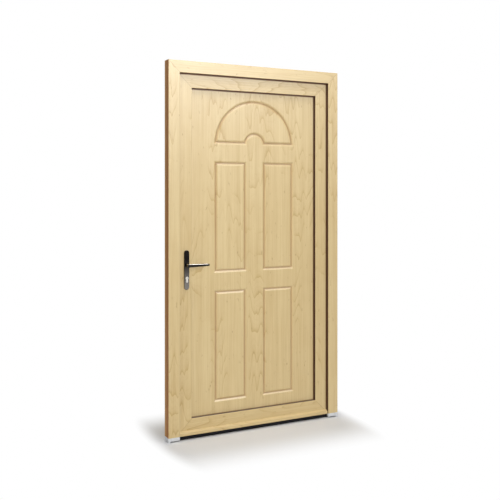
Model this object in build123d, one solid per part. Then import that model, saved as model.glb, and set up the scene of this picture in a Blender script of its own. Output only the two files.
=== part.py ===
from build123d import *
import os
from math import cos, radians, sin, sqrt, tan

# Plastic front door in its frame, clad in a maple foil, with a moulded sandwich panel.
# It is seen from outside: +X to the right, +Y into the house, +Z up, in millimetres.
# Depths are counted from the outside face of the frame. The pieces are written out with the
# origin on the floor, midway between the jambs and midway through the depth of the frame.
# The handle is on the left, the hinges are on the right, and the leaf swings into the house.

# General fits
GAP = 0.3  # between a moving piece and what it passes
SLIP = 0.5  # between pieces that slide together by hand
RUNNING = 0.05  # radial clearance of a pin or plug that turns
OVERCUT = 1.0  # how far a cutter runs past what it cuts
PROFILE_WALL = 3.0  # outer walls of the hollow plastic profiles
PROFILE_WEB = 2.5  # inner webs of the same profiles

# Outer frame
FRAME_WIDTH = 1100.0
FRAME_HEIGHT = 2100.0
FRAME_DEPTH = 60.0
FRAME_FACE = 67.0  # width of the face seen from outside
STOP_THICKNESS = 17.0  # lip that the leaf closes against
STOP_REACH = 20.0  # how far that lip stands over the rebate
FRAME_STEEL_WALL = 1.5
TUBE_CORNER = 3.0  # outer corners of the steel tubes
EDGE_ROUND = 2.0

# Threshold and end blocks
THRESHOLD_HEIGHT = 20.0
THRESHOLD_SET_BACK = 22.0
THRESHOLD_WALL = 2.0
THRESHOLD_CHAMFER = 4.0
BLOCK_HEIGHT = 26.0
BLOCK_LIFT = 7.5  # gap to the floor beside the foot
FOOT_WIDTH = 11.0
SPIGOT_HEIGHT = 20.0
TONGUE_LENGTH = 15.0

# Leaf
LEAF_DEPTH = 60.0
LEAF_SET_BACK = 21.0  # outside face of the leaf behind the frame face
LEAF_OVERLAP = 9.0  # how far the stop lip covers the leaf's edge
LEAF_FACE = 88.0  # from the leaf's edge to the panel
FLANGE_REACH = 19.0  # inner flange that covers the frame
FLANGE_THICKNESS = 17.5
LEAF_FLOOR_GAP = 4.0  # above the threshold
GLAZING_LIP = 15.5
GLAZING_REBATE = 15.0
LEAF_STEEL_WALL = 2.0
FRONT_CHAMBER = 3.0
REAR_CHAMBER = 7.5
GROOVE_WIDTH = 16.0  # hardware groove round the leaf's edge
GROOVE_DEPTH = 3.0
GROOVE_SET_BACK = 5.0  # from the flange to that groove
STEEL_END_GAP = 12.0

# Seals
SEAL_GROOVE = 3.5
SEAL_GROOVE_DEPTH = 4.0
SEAL_HEAD = 8.0
SEAL_NOSE = 4.8  # width of a seal where it touches
SEAL_ROUND = 1.2
SEAL_INSET = 1.0
FLANGE_SEAL_ROUND = 0.9
FLANGE_SEAL_INSET = 3.0
SWEEP_THICKNESS = 4.0
PANEL_SEAL = 3.5
BEAD_SEAL = 3.0
PANEL_SEAL_WIDTH = 10.0
PANEL_SEAL_INSET = 0.8

# Panel
OUTER_SKIN = 8.0
PANEL_CORE = 13.0
INNER_SKIN = 3.0
PANEL_EDGE_GAP = 3.0
PACKER_LENGTH = 100.0
PACKER_INSET = 60.0  # from the panel's corner
PACKER_SIDE_GAP = 1.0
BEAD_TAPER = 4.0

# Moulded pattern of the outer skin
MOULD_WIDTH = 23.0  # of the groove at the surface
MOULD_DEPTH = 5.5
MOULD_FLOOR = 2.0
FIELD_OUTER = 259.5  # door centre line to the outer side of a field
FIELD_INNER = 52.0  # door centre line to the inner side of a field
FIELD_BOTTOM = 180.0  # foot of the lower fields above the floor
FIELD_GAP = 99.0  # between the lower and the upper fields
FAN_GAP = 97.0  # between the upper fields and the fan
FAN_DROP = 454.0  # springing line of the fan below the frame's top

# Weather bar
BAR_HEIGHT = 23.4
BAR_FRONT = 16.0
BAR_REACH = 16.0
BAR_END_GAP = 3.0
BAR_WALL = 3.0
BAR_TOP_ABOVE_LEAF = 24.0
BAR_NOSE = 1.5

# Hinges
HINGE_LOW = 280.0  # middle of the lowest hinge above the floor
HINGE_DROP = 260.0  # middle of the highest hinge below the frame's top
KNUCKLE_RADIUS = 10.0
KNUCKLE_LENGTH = 48.0
HINGE_PIN_RADIUS = 5.0
HINGE_PLATE = 4.0
HINGE_PLATE_HEIGHT = 124.0
HINGE_LEAF_PLATE_WIDTH = 36.0
HINGE_FRAME_PLATE_WIDTH = 13.0
HINGE_FACE_GAP = 2.0
HINGE_PLATE_GAP = 1.0  # between the knuckle and the frame plate
HINGE_PLATE_INSET = 2.0  # leaf plate from the flange's edge
HINGE_SCREW_INSET = 26.0  # leaf screws from the plate's edge by the knuckle
HINGE_PIN_SHORT = 2.0

# Lock
BACKSET = 55.0
SPINDLE_HEIGHT = 968.0
CYLINDER_DROP = 72.0
LOCK_THICKNESS = 15.0
LOCK_BELOW = 106.0  # case below the spindle
LOCK_ABOVE = 32.0  # case above the spindle
LOCK_BEHIND_SPINDLE = 12.5
FACEPLATE_THICKNESS = 2.5
FACEPLATE_BELOW_HOOK = 90.0
FACEPLATE_ABOVE_HOOK = 100.0
FACEPLATE_SCREW_INSET = 25.0
CASE_SCREW_GAP = 30.0  # from a case to the next screw of the faceplate
FOLLOWER_RADIUS = 9.0
SPINDLE_SIZE = 8.0
LATCH_THICKNESS = 12.0
LATCH_HEIGHT = 18.0
LATCH_LENGTH = 42.0
LATCH_THROW = 10.0
LATCH_NOSE_FLAT = 2.0
DEADBOLT_HEIGHT = 22.0
DEADBOLT_LENGTH = 39.0
DEADBOLT_THROW = 20.0
DEADBOLT_CHAMFER = 1.0
DEADBOLT_ABOVE_CYLINDER = 20.0
CYLINDER_RADIUS = 8.5
CYLINDER_TAIL = 24.5
CYLINDER_TAIL_RADIUS = 5.1
CYLINDER_PROUD = 2.0
PLUG_RADIUS = 6.5
CAM_RADIUS = 11.2
CAM_THICKNESS = 9.4
CAM_WIDTH = 7.0
BRIDGE_DEPTH = 12.0
KEY_SLOT_WIDTH = 1.6
KEY_SLOT_HEIGHT = 8.0
KEY_SLOT_DEPTH = 20.0

# Hook bolts
HOOK_LOW = 330.0  # pivot of the lower hook above the floor
HOOK_DROP = 500.0  # pivot of the upper hook below the frame's top
HOOK_PIVOT_DEPTH = 10.0
HOOK_THICKNESS = 6.0
HOOK_INNER = 22.5
HOOK_OUTER = 29.0
HOOK_REST_ANGLE = 78.0
HOOK_SPAN = 88.0
HOOK_THROW = 90.0
HOOK_ARM_SPAN = 16.0
HOOK_HUB = 6.0
HOOK_LAP = 1.0  # arm into hub and claw
HOOK_PIVOT = 2.5
HOOK_CASE_DEPTH = 40.0
HOOK_CASE_BELOW = 14.0
HOOK_CASE_ABOVE = 33.0
HOOK_CASE_FLOOR = 3.0

# Keeps
KEEP_THICKNESS = 2.0
KEEP_BELOW = 45.0  # main keep, below the dead bolt
KEEP_ABOVE = 30.0  # main keep, above the latch
HOOK_KEEP_BELOW = 40.0
HOOK_KEEP_ABOVE = 55.0
KEEP_EDGE_GAP = 1.0
BOLT_CLEARANCE = 1.2

# Handle set
PLATE_WIDTH = 29.0
PLATE_ABOVE = 82.0  # above the spindle
PLATE_BELOW = 137.0
PLATE_THICKNESS = 10.0
PLATE_EDGE = 2.5
PLATE_SCREW_INSET = 10.0
LEVER_STAND = 50.0  # lever centre line off the leaf's face
LEVER_REACH = 122.0
LEVER_DEPTH = 11.0
LEVER_HEIGHT = 18.0
LEVER_TIP_HEIGHT = 12.0
LEVER_TIP_RETURN = 9.0
LEVER_EDGE = 2.5
LEVER_ELBOW = 8.0  # outer round of the bend
LEVER_CROOK = 6.0  # inner round of the bend
LEVER_TIP_ROUND = 10.0
LEVER_TIP_NOSE = 2.0
LEVER_TIP_BEND = 18.0  # from the tip to where the bar turns to the leaf
LEVER_TIP_SLANT = 5.0
LEVER_TOP_FALL = 2.0
NECK_RADIUS = 9.0
NECK_INSET = 6.0  # neck inside the plate
NECK_SHOULDER = 1.0  # bend narrower than the neck
NECK_COLLAR = 4.0  # neck in front of the plate

# Screws
SCREW_RADIUS = 2.0
SCREW_HEAD = 4.0
SCREW_HEAD_DEPTH = 2.0
SCREW_LENGTH = 22.0
PLATE_SCREW_RADIUS = 2.5
PLATE_SCREW_HEAD = 4.5
PLATE_SCREW_SHORT = 1.0

# Wall fixings through the jambs
FIXING_RADIUS = 5.1
FIXING_DEPTH = 39.0  # behind the frame face
FIXING_LOW = 200.0  # lowest hole above the floor
FIXING_DROP = 150.0  # highest hole below the frame's top
FIXING_PITCH = 500.0

# Worked out from the sizes above
half_width = FRAME_WIDTH / 2
rebate = FRAME_FACE - STOP_REACH
leaf_edge = FRAME_FACE - LEAF_OVERLAP
leaf_front = LEAF_SET_BACK
leaf_back = LEAF_SET_BACK + LEAF_DEPTH
flange_face = leaf_back - FLANGE_THICKNESS
leaf_bottom = THRESHOLD_HEIGHT + LEAF_FLOOR_GAP
leaf_x = half_width - leaf_edge
leaf_top = FRAME_HEIGHT - leaf_edge
panel_front = leaf_front + GLAZING_LIP + PANEL_SEAL
skin_back = panel_front + OUTER_SKIN
core_back = skin_back + PANEL_CORE
panel_back = core_back + INNER_SKIN
bead_front = panel_back + BEAD_SEAL
rebate_base = LEAF_FACE - GLAZING_REBATE
panel_inset = rebate_base + PANEL_EDGE_GAP
lock_y = flange_face - GROOVE_SET_BACK - GROOVE_WIDTH / 2
lock_x = -leaf_x
spindle_x = lock_x + BACKSET
cylinder_z = SPINDLE_HEIGHT - CYLINDER_DROP
deadbolt_z = cylinder_z + DEADBOLT_ABOVE_CYLINDER
hook_x = lock_x + HOOK_PIVOT_DEPTH
hook_heights = (HOOK_LOW, FRAME_HEIGHT - HOOK_DROP)
lock_z = (SPINDLE_HEIGHT - LOCK_BELOW, SPINDLE_HEIGHT + LOCK_ABOVE)
faceplate_z = (hook_heights[0] - FACEPLATE_BELOW_HOOK, hook_heights[1] + FACEPLATE_ABOVE_HOOK)
rebate_x = -half_width + rebate
hinge_x = half_width - leaf_edge + FLANGE_REACH + HINGE_FACE_GAP + KNUCKLE_RADIUS
hinge_y = FRAME_DEPTH + HINGE_FACE_GAP + KNUCKLE_RADIUS
hinge_top = FRAME_HEIGHT - HINGE_DROP
hinge_heights = (HINGE_LOW, (HINGE_LOW + hinge_top) / 2, hinge_top)
fixing_top = FRAME_HEIGHT - FIXING_DROP
fixing_heights = (FIXING_LOW, FIXING_LOW + FIXING_PITCH, fixing_top - FIXING_PITCH, fixing_top)
fan_base = FRAME_HEIGHT - FAN_DROP
field_height = (fan_base - FAN_GAP - FIELD_GAP - FIELD_BOTTOM) / 2
lower_field = (FIELD_BOTTOM, FIELD_BOTTOM + field_height)
upper_field = (fan_base - FAN_GAP - field_height, fan_base - FAN_GAP)
frame_steel = PROFILE_WALL + SLIP
frame_web_front = STOP_THICKNESS + PROFILE_WEB / 2  # the web stands half behind the rebate's floor
frame_web_back = frame_web_front + PROFILE_WEB
leaf_steel_front = leaf_front + PROFILE_WALL + FRONT_CHAMBER + PROFILE_WALL + SLIP
leaf_web = leaf_back - PROFILE_WALL - REAR_CHAMBER
leaf_steel_back = leaf_web - PROFILE_WEB - SLIP

MEMBERS = {
    "lock": (Vector(1, 0, 0), Vector(0, 0, 1)),
    "hinge": (Vector(-1, 0, 0), Vector(0, 0, -1)),
    "top": (Vector(0, 0, -1), Vector(1, 0, 0)),
    "bottom": (Vector(0, 0, 1), Vector(-1, 0, 0)),
}
FRAME_RECT = (-half_width, half_width, 0.0, FRAME_HEIGHT)
LEAF_RECT = (-leaf_x, leaf_x, leaf_bottom, leaf_top)


def area(*points, rounds=None):
    """A flat outline with straight sides; rounds gives a radius to some of its corners."""
    radii = [(rounds or {}).get(i, 0) for i in range(len(points))]
    return make_face(FilletPolyline(*points, radius=radii, close=True))


def rect(a0, a1, b0, b1):
    """A flat rectangle between two limits each way."""
    return Pos((a0 + a1) / 2, (b0 + b1) / 2) * Rectangle(a1 - a0, b1 - b0)


def block(x, y, z):
    """A box between two limits along each axis."""
    size = (x[1] - x[0], y[1] - y[0], z[1] - z[0])
    return Pos((x[0] + x[1]) / 2, (y[0] + y[1]) / 2, (z[0] + z[1]) / 2) * Box(*size)


def rod(x, z, radius, y0, y1):
    """A round bar along Y."""
    return Pos(x, (y0 + y1) / 2, z) * Rot(90, 0, 0) * Cylinder(radius, abs(y1 - y0))


def cross_rod(y, z, radius, x0, x1):
    """A round bar along X."""
    return Pos((x0 + x1) / 2, y, z) * Rot(0, 90, 0) * Cylinder(radius, abs(x1 - x0))


def facing(y):
    """The plane at one depth, in which a sketch's x is +X and its y is +Z."""
    return Plane(origin=(0, y, 0), x_dir=(1, 0, 0), z_dir=(0, -1, 0))


def slab(outline, y0, y1):
    """An outline in X and Z made solid from one depth to another."""
    return extrude(facing(y0) * outline, amount=-(y1 - y0))


def member(section, side, frame, low=None):
    """One side of a mitred frame.

    The section's first axis runs inwards from that side of the rectangle, its second is +Y.
    """
    x0, x1, z0, z1 = frame
    inwards, along = MEMBERS[side]
    start = {"lock": (x0, 0, 0), "hinge": (x1, 0, 0), "top": (0, 0, z1), "bottom": (0, 0, z0)}
    plane = Plane(origin=start[side], x_dir=inwards, z_dir=along)
    far = (x1 - x0) + (z1 - z0)
    bar = extrude(plane * section, amount=far, both=True)
    upright = side in ("lock", "hinge")
    for x in (x0, x1) if not upright else ((x0,) if side == "lock" else (x1,)):
        for z in (z0, z1) if upright else ((z0,) if side == "bottom" else (z1,)):
            if upright and low is not None and z == z0:
                continue
            out_x = 1 if x == x1 else -1
            out_z = 1 if z == z1 else -1
            keep = (out_x, 0, -out_z) if upright else (-out_x, 0, out_z)
            bar = split(bar, bisect_by=Plane(origin=(x, 0, z), z_dir=keep), keep=Keep.TOP)
    if low is not None:
        bar = split(bar, bisect_by=Plane(origin=(0, 0, low), z_dir=(0, 0, 1)), keep=Keep.TOP)
    return bar


def loop(section, frame, sides=("lock", "top", "hinge"), low=None):
    """Sides of a mitred frame joined into one piece."""
    bars = [member(section, side, frame, low) for side in sides]
    return bars[0] + bars[1:]


def tube(a0, a1, b0, b1, wall, corner=TUBE_CORNER):
    """A rectangular steel tube's section."""
    outer = Pos((a0 + a1) / 2, (b0 + b1) / 2) * RectangleRounded(a1 - a0, b1 - b0, corner)
    inner = Pos((a0 + a1) / 2, (b0 + b1) / 2) * RectangleRounded(
        a1 - a0 - 2 * wall, b1 - b0 - 2 * wall, corner - wall
    )
    return outer - inner


def screw(x, y, z, inward, radius=SCREW_RADIUS, head=SCREW_HEAD, length=SCREW_LENGTH):
    """A countersunk screw whose head is flush at a point, driven along a direction."""
    profile = area(
        (0, 0), (head, 0), (radius, SCREW_HEAD_DEPTH), (radius, length), (0, length)
    )
    turned = revolve(Plane(origin=(0, 0, 0), x_dir=(1, 0, 0), z_dir=(0, -1, 0)) * profile, Axis.Z)
    return Plane(origin=(x, y, z), z_dir=inward) * turned


def drill(piece, tools):
    """Cut every tool out of a piece."""
    return piece - tools if tools else piece


def cylinder_outline(clearance=0.0):
    """The outline of the profile cylinder, round above and with a tail below."""
    round_part = Circle(CYLINDER_RADIUS + clearance)
    tail_radius = CYLINDER_TAIL_RADIUS + clearance
    low = CYLINDER_TAIL - CYLINDER_TAIL_RADIUS
    tail = rect(-tail_radius, tail_radius, -low, 0)
    foot = Pos(0, -low) * Circle(tail_radius)
    return Pos(spindle_x, cylinder_z) * (round_part + tail + foot)


nodes = {}

# Frame section: an outside stop lip over a rebate, four chambers
seal_a = FRAME_FACE - SEAL_HEAD / 2 - SEAL_GROOVE / 2 - SEAL_INSET
lip_wall = STOP_THICKNESS - SEAL_GROOVE_DEPTH - PROFILE_WALL
frame_outline = area(
    (0, 0),
    (FRAME_FACE, 0),
    (FRAME_FACE, STOP_THICKNESS),
    (rebate, STOP_THICKNESS),
    (rebate, FRAME_DEPTH),
    (0, FRAME_DEPTH),
    rounds={0: EDGE_ROUND, 1: EDGE_ROUND, 2: EDGE_ROUND / 2, 4: EDGE_ROUND, 5: EDGE_ROUND},
)
frame_section = frame_outline - [
    rect(PROFILE_WALL, rebate - PROFILE_WALL, PROFILE_WALL, frame_web_front),
    rect(rebate, FRAME_FACE - PROFILE_WALL, PROFILE_WALL, lip_wall),
    rect(PROFILE_WALL, rebate - PROFILE_WALL, frame_web_back, FRAME_DEPTH - PROFILE_WALL),
    rect(seal_a, seal_a + SEAL_GROOVE, STOP_THICKNESS - SEAL_GROOVE_DEPTH, STOP_THICKNESS),
]
frame_steel_section = tube(
    frame_steel,
    rebate - frame_steel,
    frame_web_back + SLIP,
    FRAME_DEPTH - frame_steel,
    FRAME_STEEL_WALL,
)

# Leaf section: glazing lip outside, flange inside, hardware groove at the edge
leaf_outline_points = [
    (0, leaf_front),
    (LEAF_FACE, leaf_front),
    (LEAF_FACE, leaf_front + GLAZING_LIP),
    (rebate_base, leaf_front + GLAZING_LIP),
    (rebate_base, leaf_back),
    (-FLANGE_REACH, leaf_back),
    (-FLANGE_REACH, flange_face),
    (0, flange_face),
    (0, lock_y + GROOVE_WIDTH / 2),
    (GROOVE_DEPTH, lock_y + GROOVE_WIDTH / 2),
    (GROOVE_DEPTH, lock_y - GROOVE_WIDTH / 2),
    (0, lock_y - GROOVE_WIDTH / 2),
]
flange_seal_a = -FLANGE_REACH / 2 - SEAL_GROOVE / 2 - FLANGE_SEAL_INSET
leaf_main = (GROOVE_DEPTH + PROFILE_WALL, rebate_base - PROFILE_WALL)
leaf_chambers = [
    rect(
        GROOVE_DEPTH,
        rebate_base,
        leaf_front + PROFILE_WALL,
        leaf_front + PROFILE_WALL + FRONT_CHAMBER,
    ),
    rect(*leaf_main, leaf_steel_front - SLIP, leaf_steel_back + SLIP),
    rect(
        rebate_base + PROFILE_WALL,
        LEAF_FACE - PROFILE_WALL,
        leaf_front + PROFILE_WALL,
        leaf_front + GLAZING_LIP - PROFILE_WALL,
    ),
]
leaf_section = area(
    *leaf_outline_points,
    rounds={0: EDGE_ROUND / 2, 1: EDGE_ROUND, 2: EDGE_ROUND / 2, 5: EDGE_ROUND, 6: EDGE_ROUND},
) - [
    *leaf_chambers,
    rect(PROFILE_WALL - FLANGE_REACH, leaf_main[1], leaf_web, leaf_back - PROFILE_WALL),
    rect(flange_seal_a, flange_seal_a + SEAL_GROOVE, flange_face, flange_face + SEAL_GROOVE_DEPTH),
]
bottom_section = area(
    *leaf_outline_points[:5],
    (0, leaf_back),
    *leaf_outline_points[8:],
    rounds={0: EDGE_ROUND / 2, 1: EDGE_ROUND, 2: EDGE_ROUND / 2, 5: EDGE_ROUND},
) - [*leaf_chambers, rect(leaf_main[0], leaf_main[1], leaf_web, leaf_back - PROFILE_WALL)]
leaf_steel_section = tube(
    leaf_main[0] + SLIP,
    leaf_main[1] - SLIP,
    leaf_steel_front,
    leaf_steel_back,
    LEAF_STEEL_WALL,
)

# Screw places, shared by the screws and by all that they pass through
keep_y = lock_y
keep_half = FRAME_DEPTH - KEEP_EDGE_GAP - keep_y
main_keep_z = (deadbolt_z - KEEP_BELOW, SPINDLE_HEIGHT + KEEP_ABOVE)
keep_ranges = {"main_keep": main_keep_z}
for name, z in zip(("hook_keep_lower", "hook_keep_upper"), hook_heights):
    keep_ranges[name] = (z - HOOK_KEEP_BELOW, z + HOOK_KEEP_ABOVE)
keep_front = rebate_x + KEEP_THICKNESS
keep_screws = [
    screw(keep_front, keep_y, z, (-1, 0, 0))
    for low, high in keep_ranges.values()
    for z in (low + 2 * SCREW_HEAD, high - 2 * SCREW_HEAD)
]
frame_plate_x = hinge_x + KNUCKLE_RADIUS + HINGE_PLATE_GAP + HINGE_FRAME_PLATE_WIDTH / 2
hinge_screw_rise = HINGE_PLATE_HEIGHT / 2 - 2 * SCREW_HEAD
frame_hinge_screws = [
    screw(frame_plate_x, FRAME_DEPTH + HINGE_PLATE, z + rise, (0, -1, 0))
    for z in hinge_heights
    for rise in (-hinge_screw_rise, 0, hinge_screw_rise)
]
leaf_plate_x = half_width - leaf_edge + FLANGE_REACH - HINGE_PLATE_INSET
leaf_screw_x = leaf_plate_x - HINGE_SCREW_INSET
leaf_hinge_screws = [
    screw(leaf_screw_x, leaf_back + HINGE_PLATE, z + rise, (0, -1, 0))
    for z in hinge_heights
    for rise in (-hinge_screw_rise, 0, hinge_screw_rise)
]
faceplate_screw_heights = [
    faceplate_z[0] + FACEPLATE_SCREW_INSET,
    hook_heights[0] + HOOK_CASE_ABOVE + CASE_SCREW_GAP,
    (hook_heights[0] + lock_z[0]) / 2,
    lock_z[0] - CASE_SCREW_GAP,
    lock_z[1] + CASE_SCREW_GAP,
    (lock_z[1] + hook_heights[1]) / 2,
    hook_heights[1] - HOOK_CASE_BELOW - CASE_SCREW_GAP,
    faceplate_z[1] - FACEPLATE_SCREW_INSET,
]
faceplate_screws = [
    screw(lock_x, lock_y, z, (1, 0, 0)) for z in faceplate_screw_heights
]
plate_screw_z = (
    SPINDLE_HEIGHT + PLATE_ABOVE - PLATE_SCREW_INSET,
    SPINDLE_HEIGHT - PLATE_BELOW + PLATE_SCREW_INSET,
)
plate_outer_y = leaf_front - PLATE_THICKNESS
plate_inner_y = leaf_back + PLATE_THICKNESS
plate_screws = [
    screw(
        spindle_x,
        plate_inner_y,
        z,
        (0, -1, 0),
        PLATE_SCREW_RADIUS,
        PLATE_SCREW_HEAD,
        plate_inner_y - plate_outer_y - PLATE_SCREW_SHORT,
    )
    for z in plate_screw_z
]

# Pockets for bolts, hooks, cases, the spindle and the cylinder
bolt_y = (lock_y - LATCH_THICKNESS / 2, lock_y + LATCH_THICKNESS / 2)


def bolt_pocket(depth):
    """Room in the jamb for the dead bolt."""
    half_height = DEADBOLT_HEIGHT / 2 + BOLT_CLEARANCE
    return block(
        (rebate_x - depth, rebate_x + KEEP_THICKNESS),
        (bolt_y[0] - BOLT_CLEARANCE, bolt_y[1] + BOLT_CLEARANCE),
        (deadbolt_z - half_height, deadbolt_z + half_height),
    )


hook_half = HOOK_THICKNESS / 2 + BOLT_CLEARANCE
hook_dip = HOOK_OUTER * sin(radians(HOOK_THROW - HOOK_REST_ANGLE)) + 2 * BOLT_CLEARANCE
jamb_pockets = [bolt_pocket(DEADBOLT_THROW)] + [
    block(
        (hook_x - HOOK_OUTER - 2 * BOLT_CLEARANCE, rebate_x),
        (lock_y - hook_half, lock_y + hook_half),
        (z - hook_dip, z + HOOK_OUTER),
    )
    for z in hook_heights
]
fixings = {
    side: [
        cross_rod(
            FIXING_DEPTH,
            z,
            FIXING_RADIUS,
            sign * (half_width - rebate - OVERCUT),
            sign * (half_width + OVERCUT),
        )
        for z in fixing_heights
    ]
    for side, sign in (("lock", -1), ("hinge", 1))
}
lock_case_x = (lock_x + FACEPLATE_THICKNESS, spindle_x + LOCK_BEHIND_SPINDLE)
lock_case_y = (lock_y - LOCK_THICKNESS / 2, lock_y + LOCK_THICKNESS / 2)
case_room = block(
    (lock_x, lock_case_x[1] + SLIP),
    (lock_case_y[0] - GAP, lock_case_y[1] + GAP),
    (lock_z[0] - GAP, lock_z[1] + GAP),
)
hook_case_x = (lock_case_x[0], lock_case_x[0] + HOOK_CASE_DEPTH)
hook_room = [
    block(
        (lock_x, hook_case_x[1] + SLIP),
        (lock_case_y[0] - GAP, lock_case_y[1] + GAP),
        (z - HOOK_CASE_BELOW - GAP, z + HOOK_CASE_ABOVE + GAP),
    )
    for z in hook_heights
]
through_y = (leaf_front - OVERCUT, leaf_back + OVERCUT)
handle_holes = [
    rod(spindle_x, SPINDLE_HEIGHT, FOLLOWER_RADIUS, *through_y),
    slab(cylinder_outline(GAP), *through_y),
] + [rod(spindle_x, z, PLATE_SCREW_RADIUS, *through_y) for z in plate_screw_z]

# Outer frame, welded at the mitres
nodes["frame_jamb_lock"] = drill(
    member(frame_section, "lock", FRAME_RECT, BLOCK_HEIGHT),
    jamb_pockets + keep_screws + fixings["lock"],
)
nodes["frame_jamb_hinge"] = drill(
    member(frame_section, "hinge", FRAME_RECT, BLOCK_HEIGHT),
    frame_hinge_screws + fixings["hinge"],
)
nodes["frame_head"] = member(frame_section, "top", FRAME_RECT)


def straight(section, side, frame, ends):
    """A straight bar on one side of a rectangle, cut square at both ends."""
    inwards, along = MEMBERS[side]
    x0, x1, z0, z1 = frame
    start = {"lock": (x0, 0, 0), "hinge": (x1, 0, 0), "top": (0, 0, z1), "bottom": (0, 0, z0)}
    plane = Plane(origin=start[side], x_dir=inwards, z_dir=along)
    bar = extrude(plane * section, amount=FRAME_WIDTH + FRAME_HEIGHT, both=True)
    axis = (0, 0, 1) if side in ("lock", "hinge") else (1, 0, 0)
    low = Plane(origin=tuple(ends[0] * a for a in axis), z_dir=axis)
    high = Plane(origin=tuple(ends[1] * a for a in axis), z_dir=tuple(-a for a in axis))
    return split(split(bar, bisect_by=low, keep=Keep.TOP), bisect_by=high, keep=Keep.TOP)


frame_steel_top = FRAME_HEIGHT - rebate - STEEL_END_GAP
nodes["jamb_steel_lock"] = drill(
    straight(frame_steel_section, "lock", FRAME_RECT, (BLOCK_HEIGHT, frame_steel_top)),
    jamb_pockets + keep_screws + fixings["lock"],
)
nodes["jamb_steel_hinge"] = drill(
    straight(frame_steel_section, "hinge", FRAME_RECT, (BLOCK_HEIGHT, frame_steel_top)),
    frame_hinge_screws + fixings["hinge"],
)
head_half = half_width - rebate - STEEL_END_GAP
nodes["head_steel"] = straight(frame_steel_section, "top", FRAME_RECT, (-head_half, head_half))
frame_seal_section = rect(
    seal_a, seal_a + SEAL_GROOVE, STOP_THICKNESS - SEAL_GROOVE_DEPTH, STOP_THICKNESS
) + area(
    (seal_a - SEAL_GROOVE / 2, STOP_THICKNESS),
    (seal_a + SEAL_HEAD - SEAL_GROOVE / 2, STOP_THICKNESS),
    (seal_a + SEAL_NOSE, leaf_front - GAP),
    (seal_a, leaf_front - GAP),
    rounds={2: SEAL_ROUND, 3: SEAL_ROUND},
)
nodes["frame_seal"] = loop(frame_seal_section, FRAME_RECT, low=BLOCK_HEIGHT)

# End blocks: moulded feet that plug into the jambs and into the threshold
threshold_half = half_width - rebate
tongue_z = (THRESHOLD_WALL + SLIP, THRESHOLD_HEIGHT - THRESHOLD_WALL - SLIP)
threshold_mid = (THRESHOLD_SET_BACK + FRAME_DEPTH) / 2


def end_block(sign):
    """The block under one jamb."""
    plan = area(
        (0, 0),
        (FRAME_FACE, 0),
        (FRAME_FACE, STOP_THICKNESS),
        (rebate, STOP_THICKNESS),
        (rebate, FRAME_DEPTH),
        (0, FRAME_DEPTH),
        rounds={0: EDGE_ROUND, 1: EDGE_ROUND, 5: EDGE_ROUND},
    )
    body = Pos(0, 0, BLOCK_LIFT) * extrude(plan, amount=BLOCK_HEIGHT - BLOCK_LIFT)
    body += extrude(plan & rect(0, FOOT_WIDTH, 0, FRAME_DEPTH), amount=BLOCK_LIFT)
    body -= block(
        (FOOT_WIDTH, rebate - PROFILE_WALL),
        (PROFILE_WALL, FRAME_DEPTH - PROFILE_WALL),
        (BLOCK_LIFT, BLOCK_HEIGHT - PROFILE_WALL),
    )
    hollow = frame_steel + FRAME_STEEL_WALL + SLIP
    spigot_y = (frame_web_back + FRAME_STEEL_WALL + 2 * SLIP, FRAME_DEPTH - hollow)
    spigot = tube(hollow, rebate - hollow, *spigot_y, PROFILE_WALL / 2, TUBE_CORNER)
    body += Pos(0, 0, BLOCK_HEIGHT) * extrude(spigot, amount=SPIGOT_HEIGHT)
    body += block(
        (rebate, rebate + TONGUE_LENGTH),
        (threshold_mid + THRESHOLD_WALL / 2 + SLIP, FRAME_DEPTH - THRESHOLD_WALL - SLIP),
        tongue_z,
    )
    placed = Pos(-half_width, 0, 0) * body
    return placed if sign < 0 else mirror(placed, about=Plane.YZ)


nodes["end_block_lock"] = end_block(-1)
nodes["end_block_hinge"] = end_block(1)

# Threshold: a low hollow bar between the end blocks
threshold_outline = area(
    (THRESHOLD_SET_BACK, 0),
    (THRESHOLD_SET_BACK, THRESHOLD_HEIGHT - THRESHOLD_CHAMFER),
    (THRESHOLD_SET_BACK + THRESHOLD_CHAMFER, THRESHOLD_HEIGHT),
    (FRAME_DEPTH, THRESHOLD_HEIGHT),
    (FRAME_DEPTH, 0),
)
threshold_section = threshold_outline - [
    rect(
        THRESHOLD_SET_BACK + THRESHOLD_WALL,
        threshold_mid - THRESHOLD_WALL / 2,
        THRESHOLD_WALL,
        THRESHOLD_HEIGHT - THRESHOLD_WALL - THRESHOLD_CHAMFER / 2,
    ),
    rect(
        threshold_mid + THRESHOLD_WALL / 2,
        FRAME_DEPTH - THRESHOLD_WALL,
        THRESHOLD_WALL,
        THRESHOLD_HEIGHT - THRESHOLD_WALL,
    ),
]
side_plane = Plane(origin=(0, 0, 0), x_dir=(0, 1, 0), z_dir=(1, 0, 0))
nodes["threshold"] = extrude(side_plane * threshold_section, amount=threshold_half, both=True)

# Leaf profiles, welded at the mitres
nodes["stile_lock"] = drill(
    member(leaf_section, "lock", LEAF_RECT),
    handle_holes + [case_room] + hook_room + faceplate_screws,
)
nodes["stile_hinge"] = drill(member(leaf_section, "hinge", LEAF_RECT), leaf_hinge_screws)
nodes["rail_top"] = member(leaf_section, "top", LEAF_RECT)
nodes["rail_bottom"] = member(bottom_section, "bottom", LEAF_RECT)
floor_plane = Plane(origin=(0, 0, leaf_bottom), z_dir=(0, 0, 1))
for name in ("stile_lock", "stile_hinge"):
    nodes[name] = split(nodes[name], bisect_by=floor_plane, keep=Keep.TOP)

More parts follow.
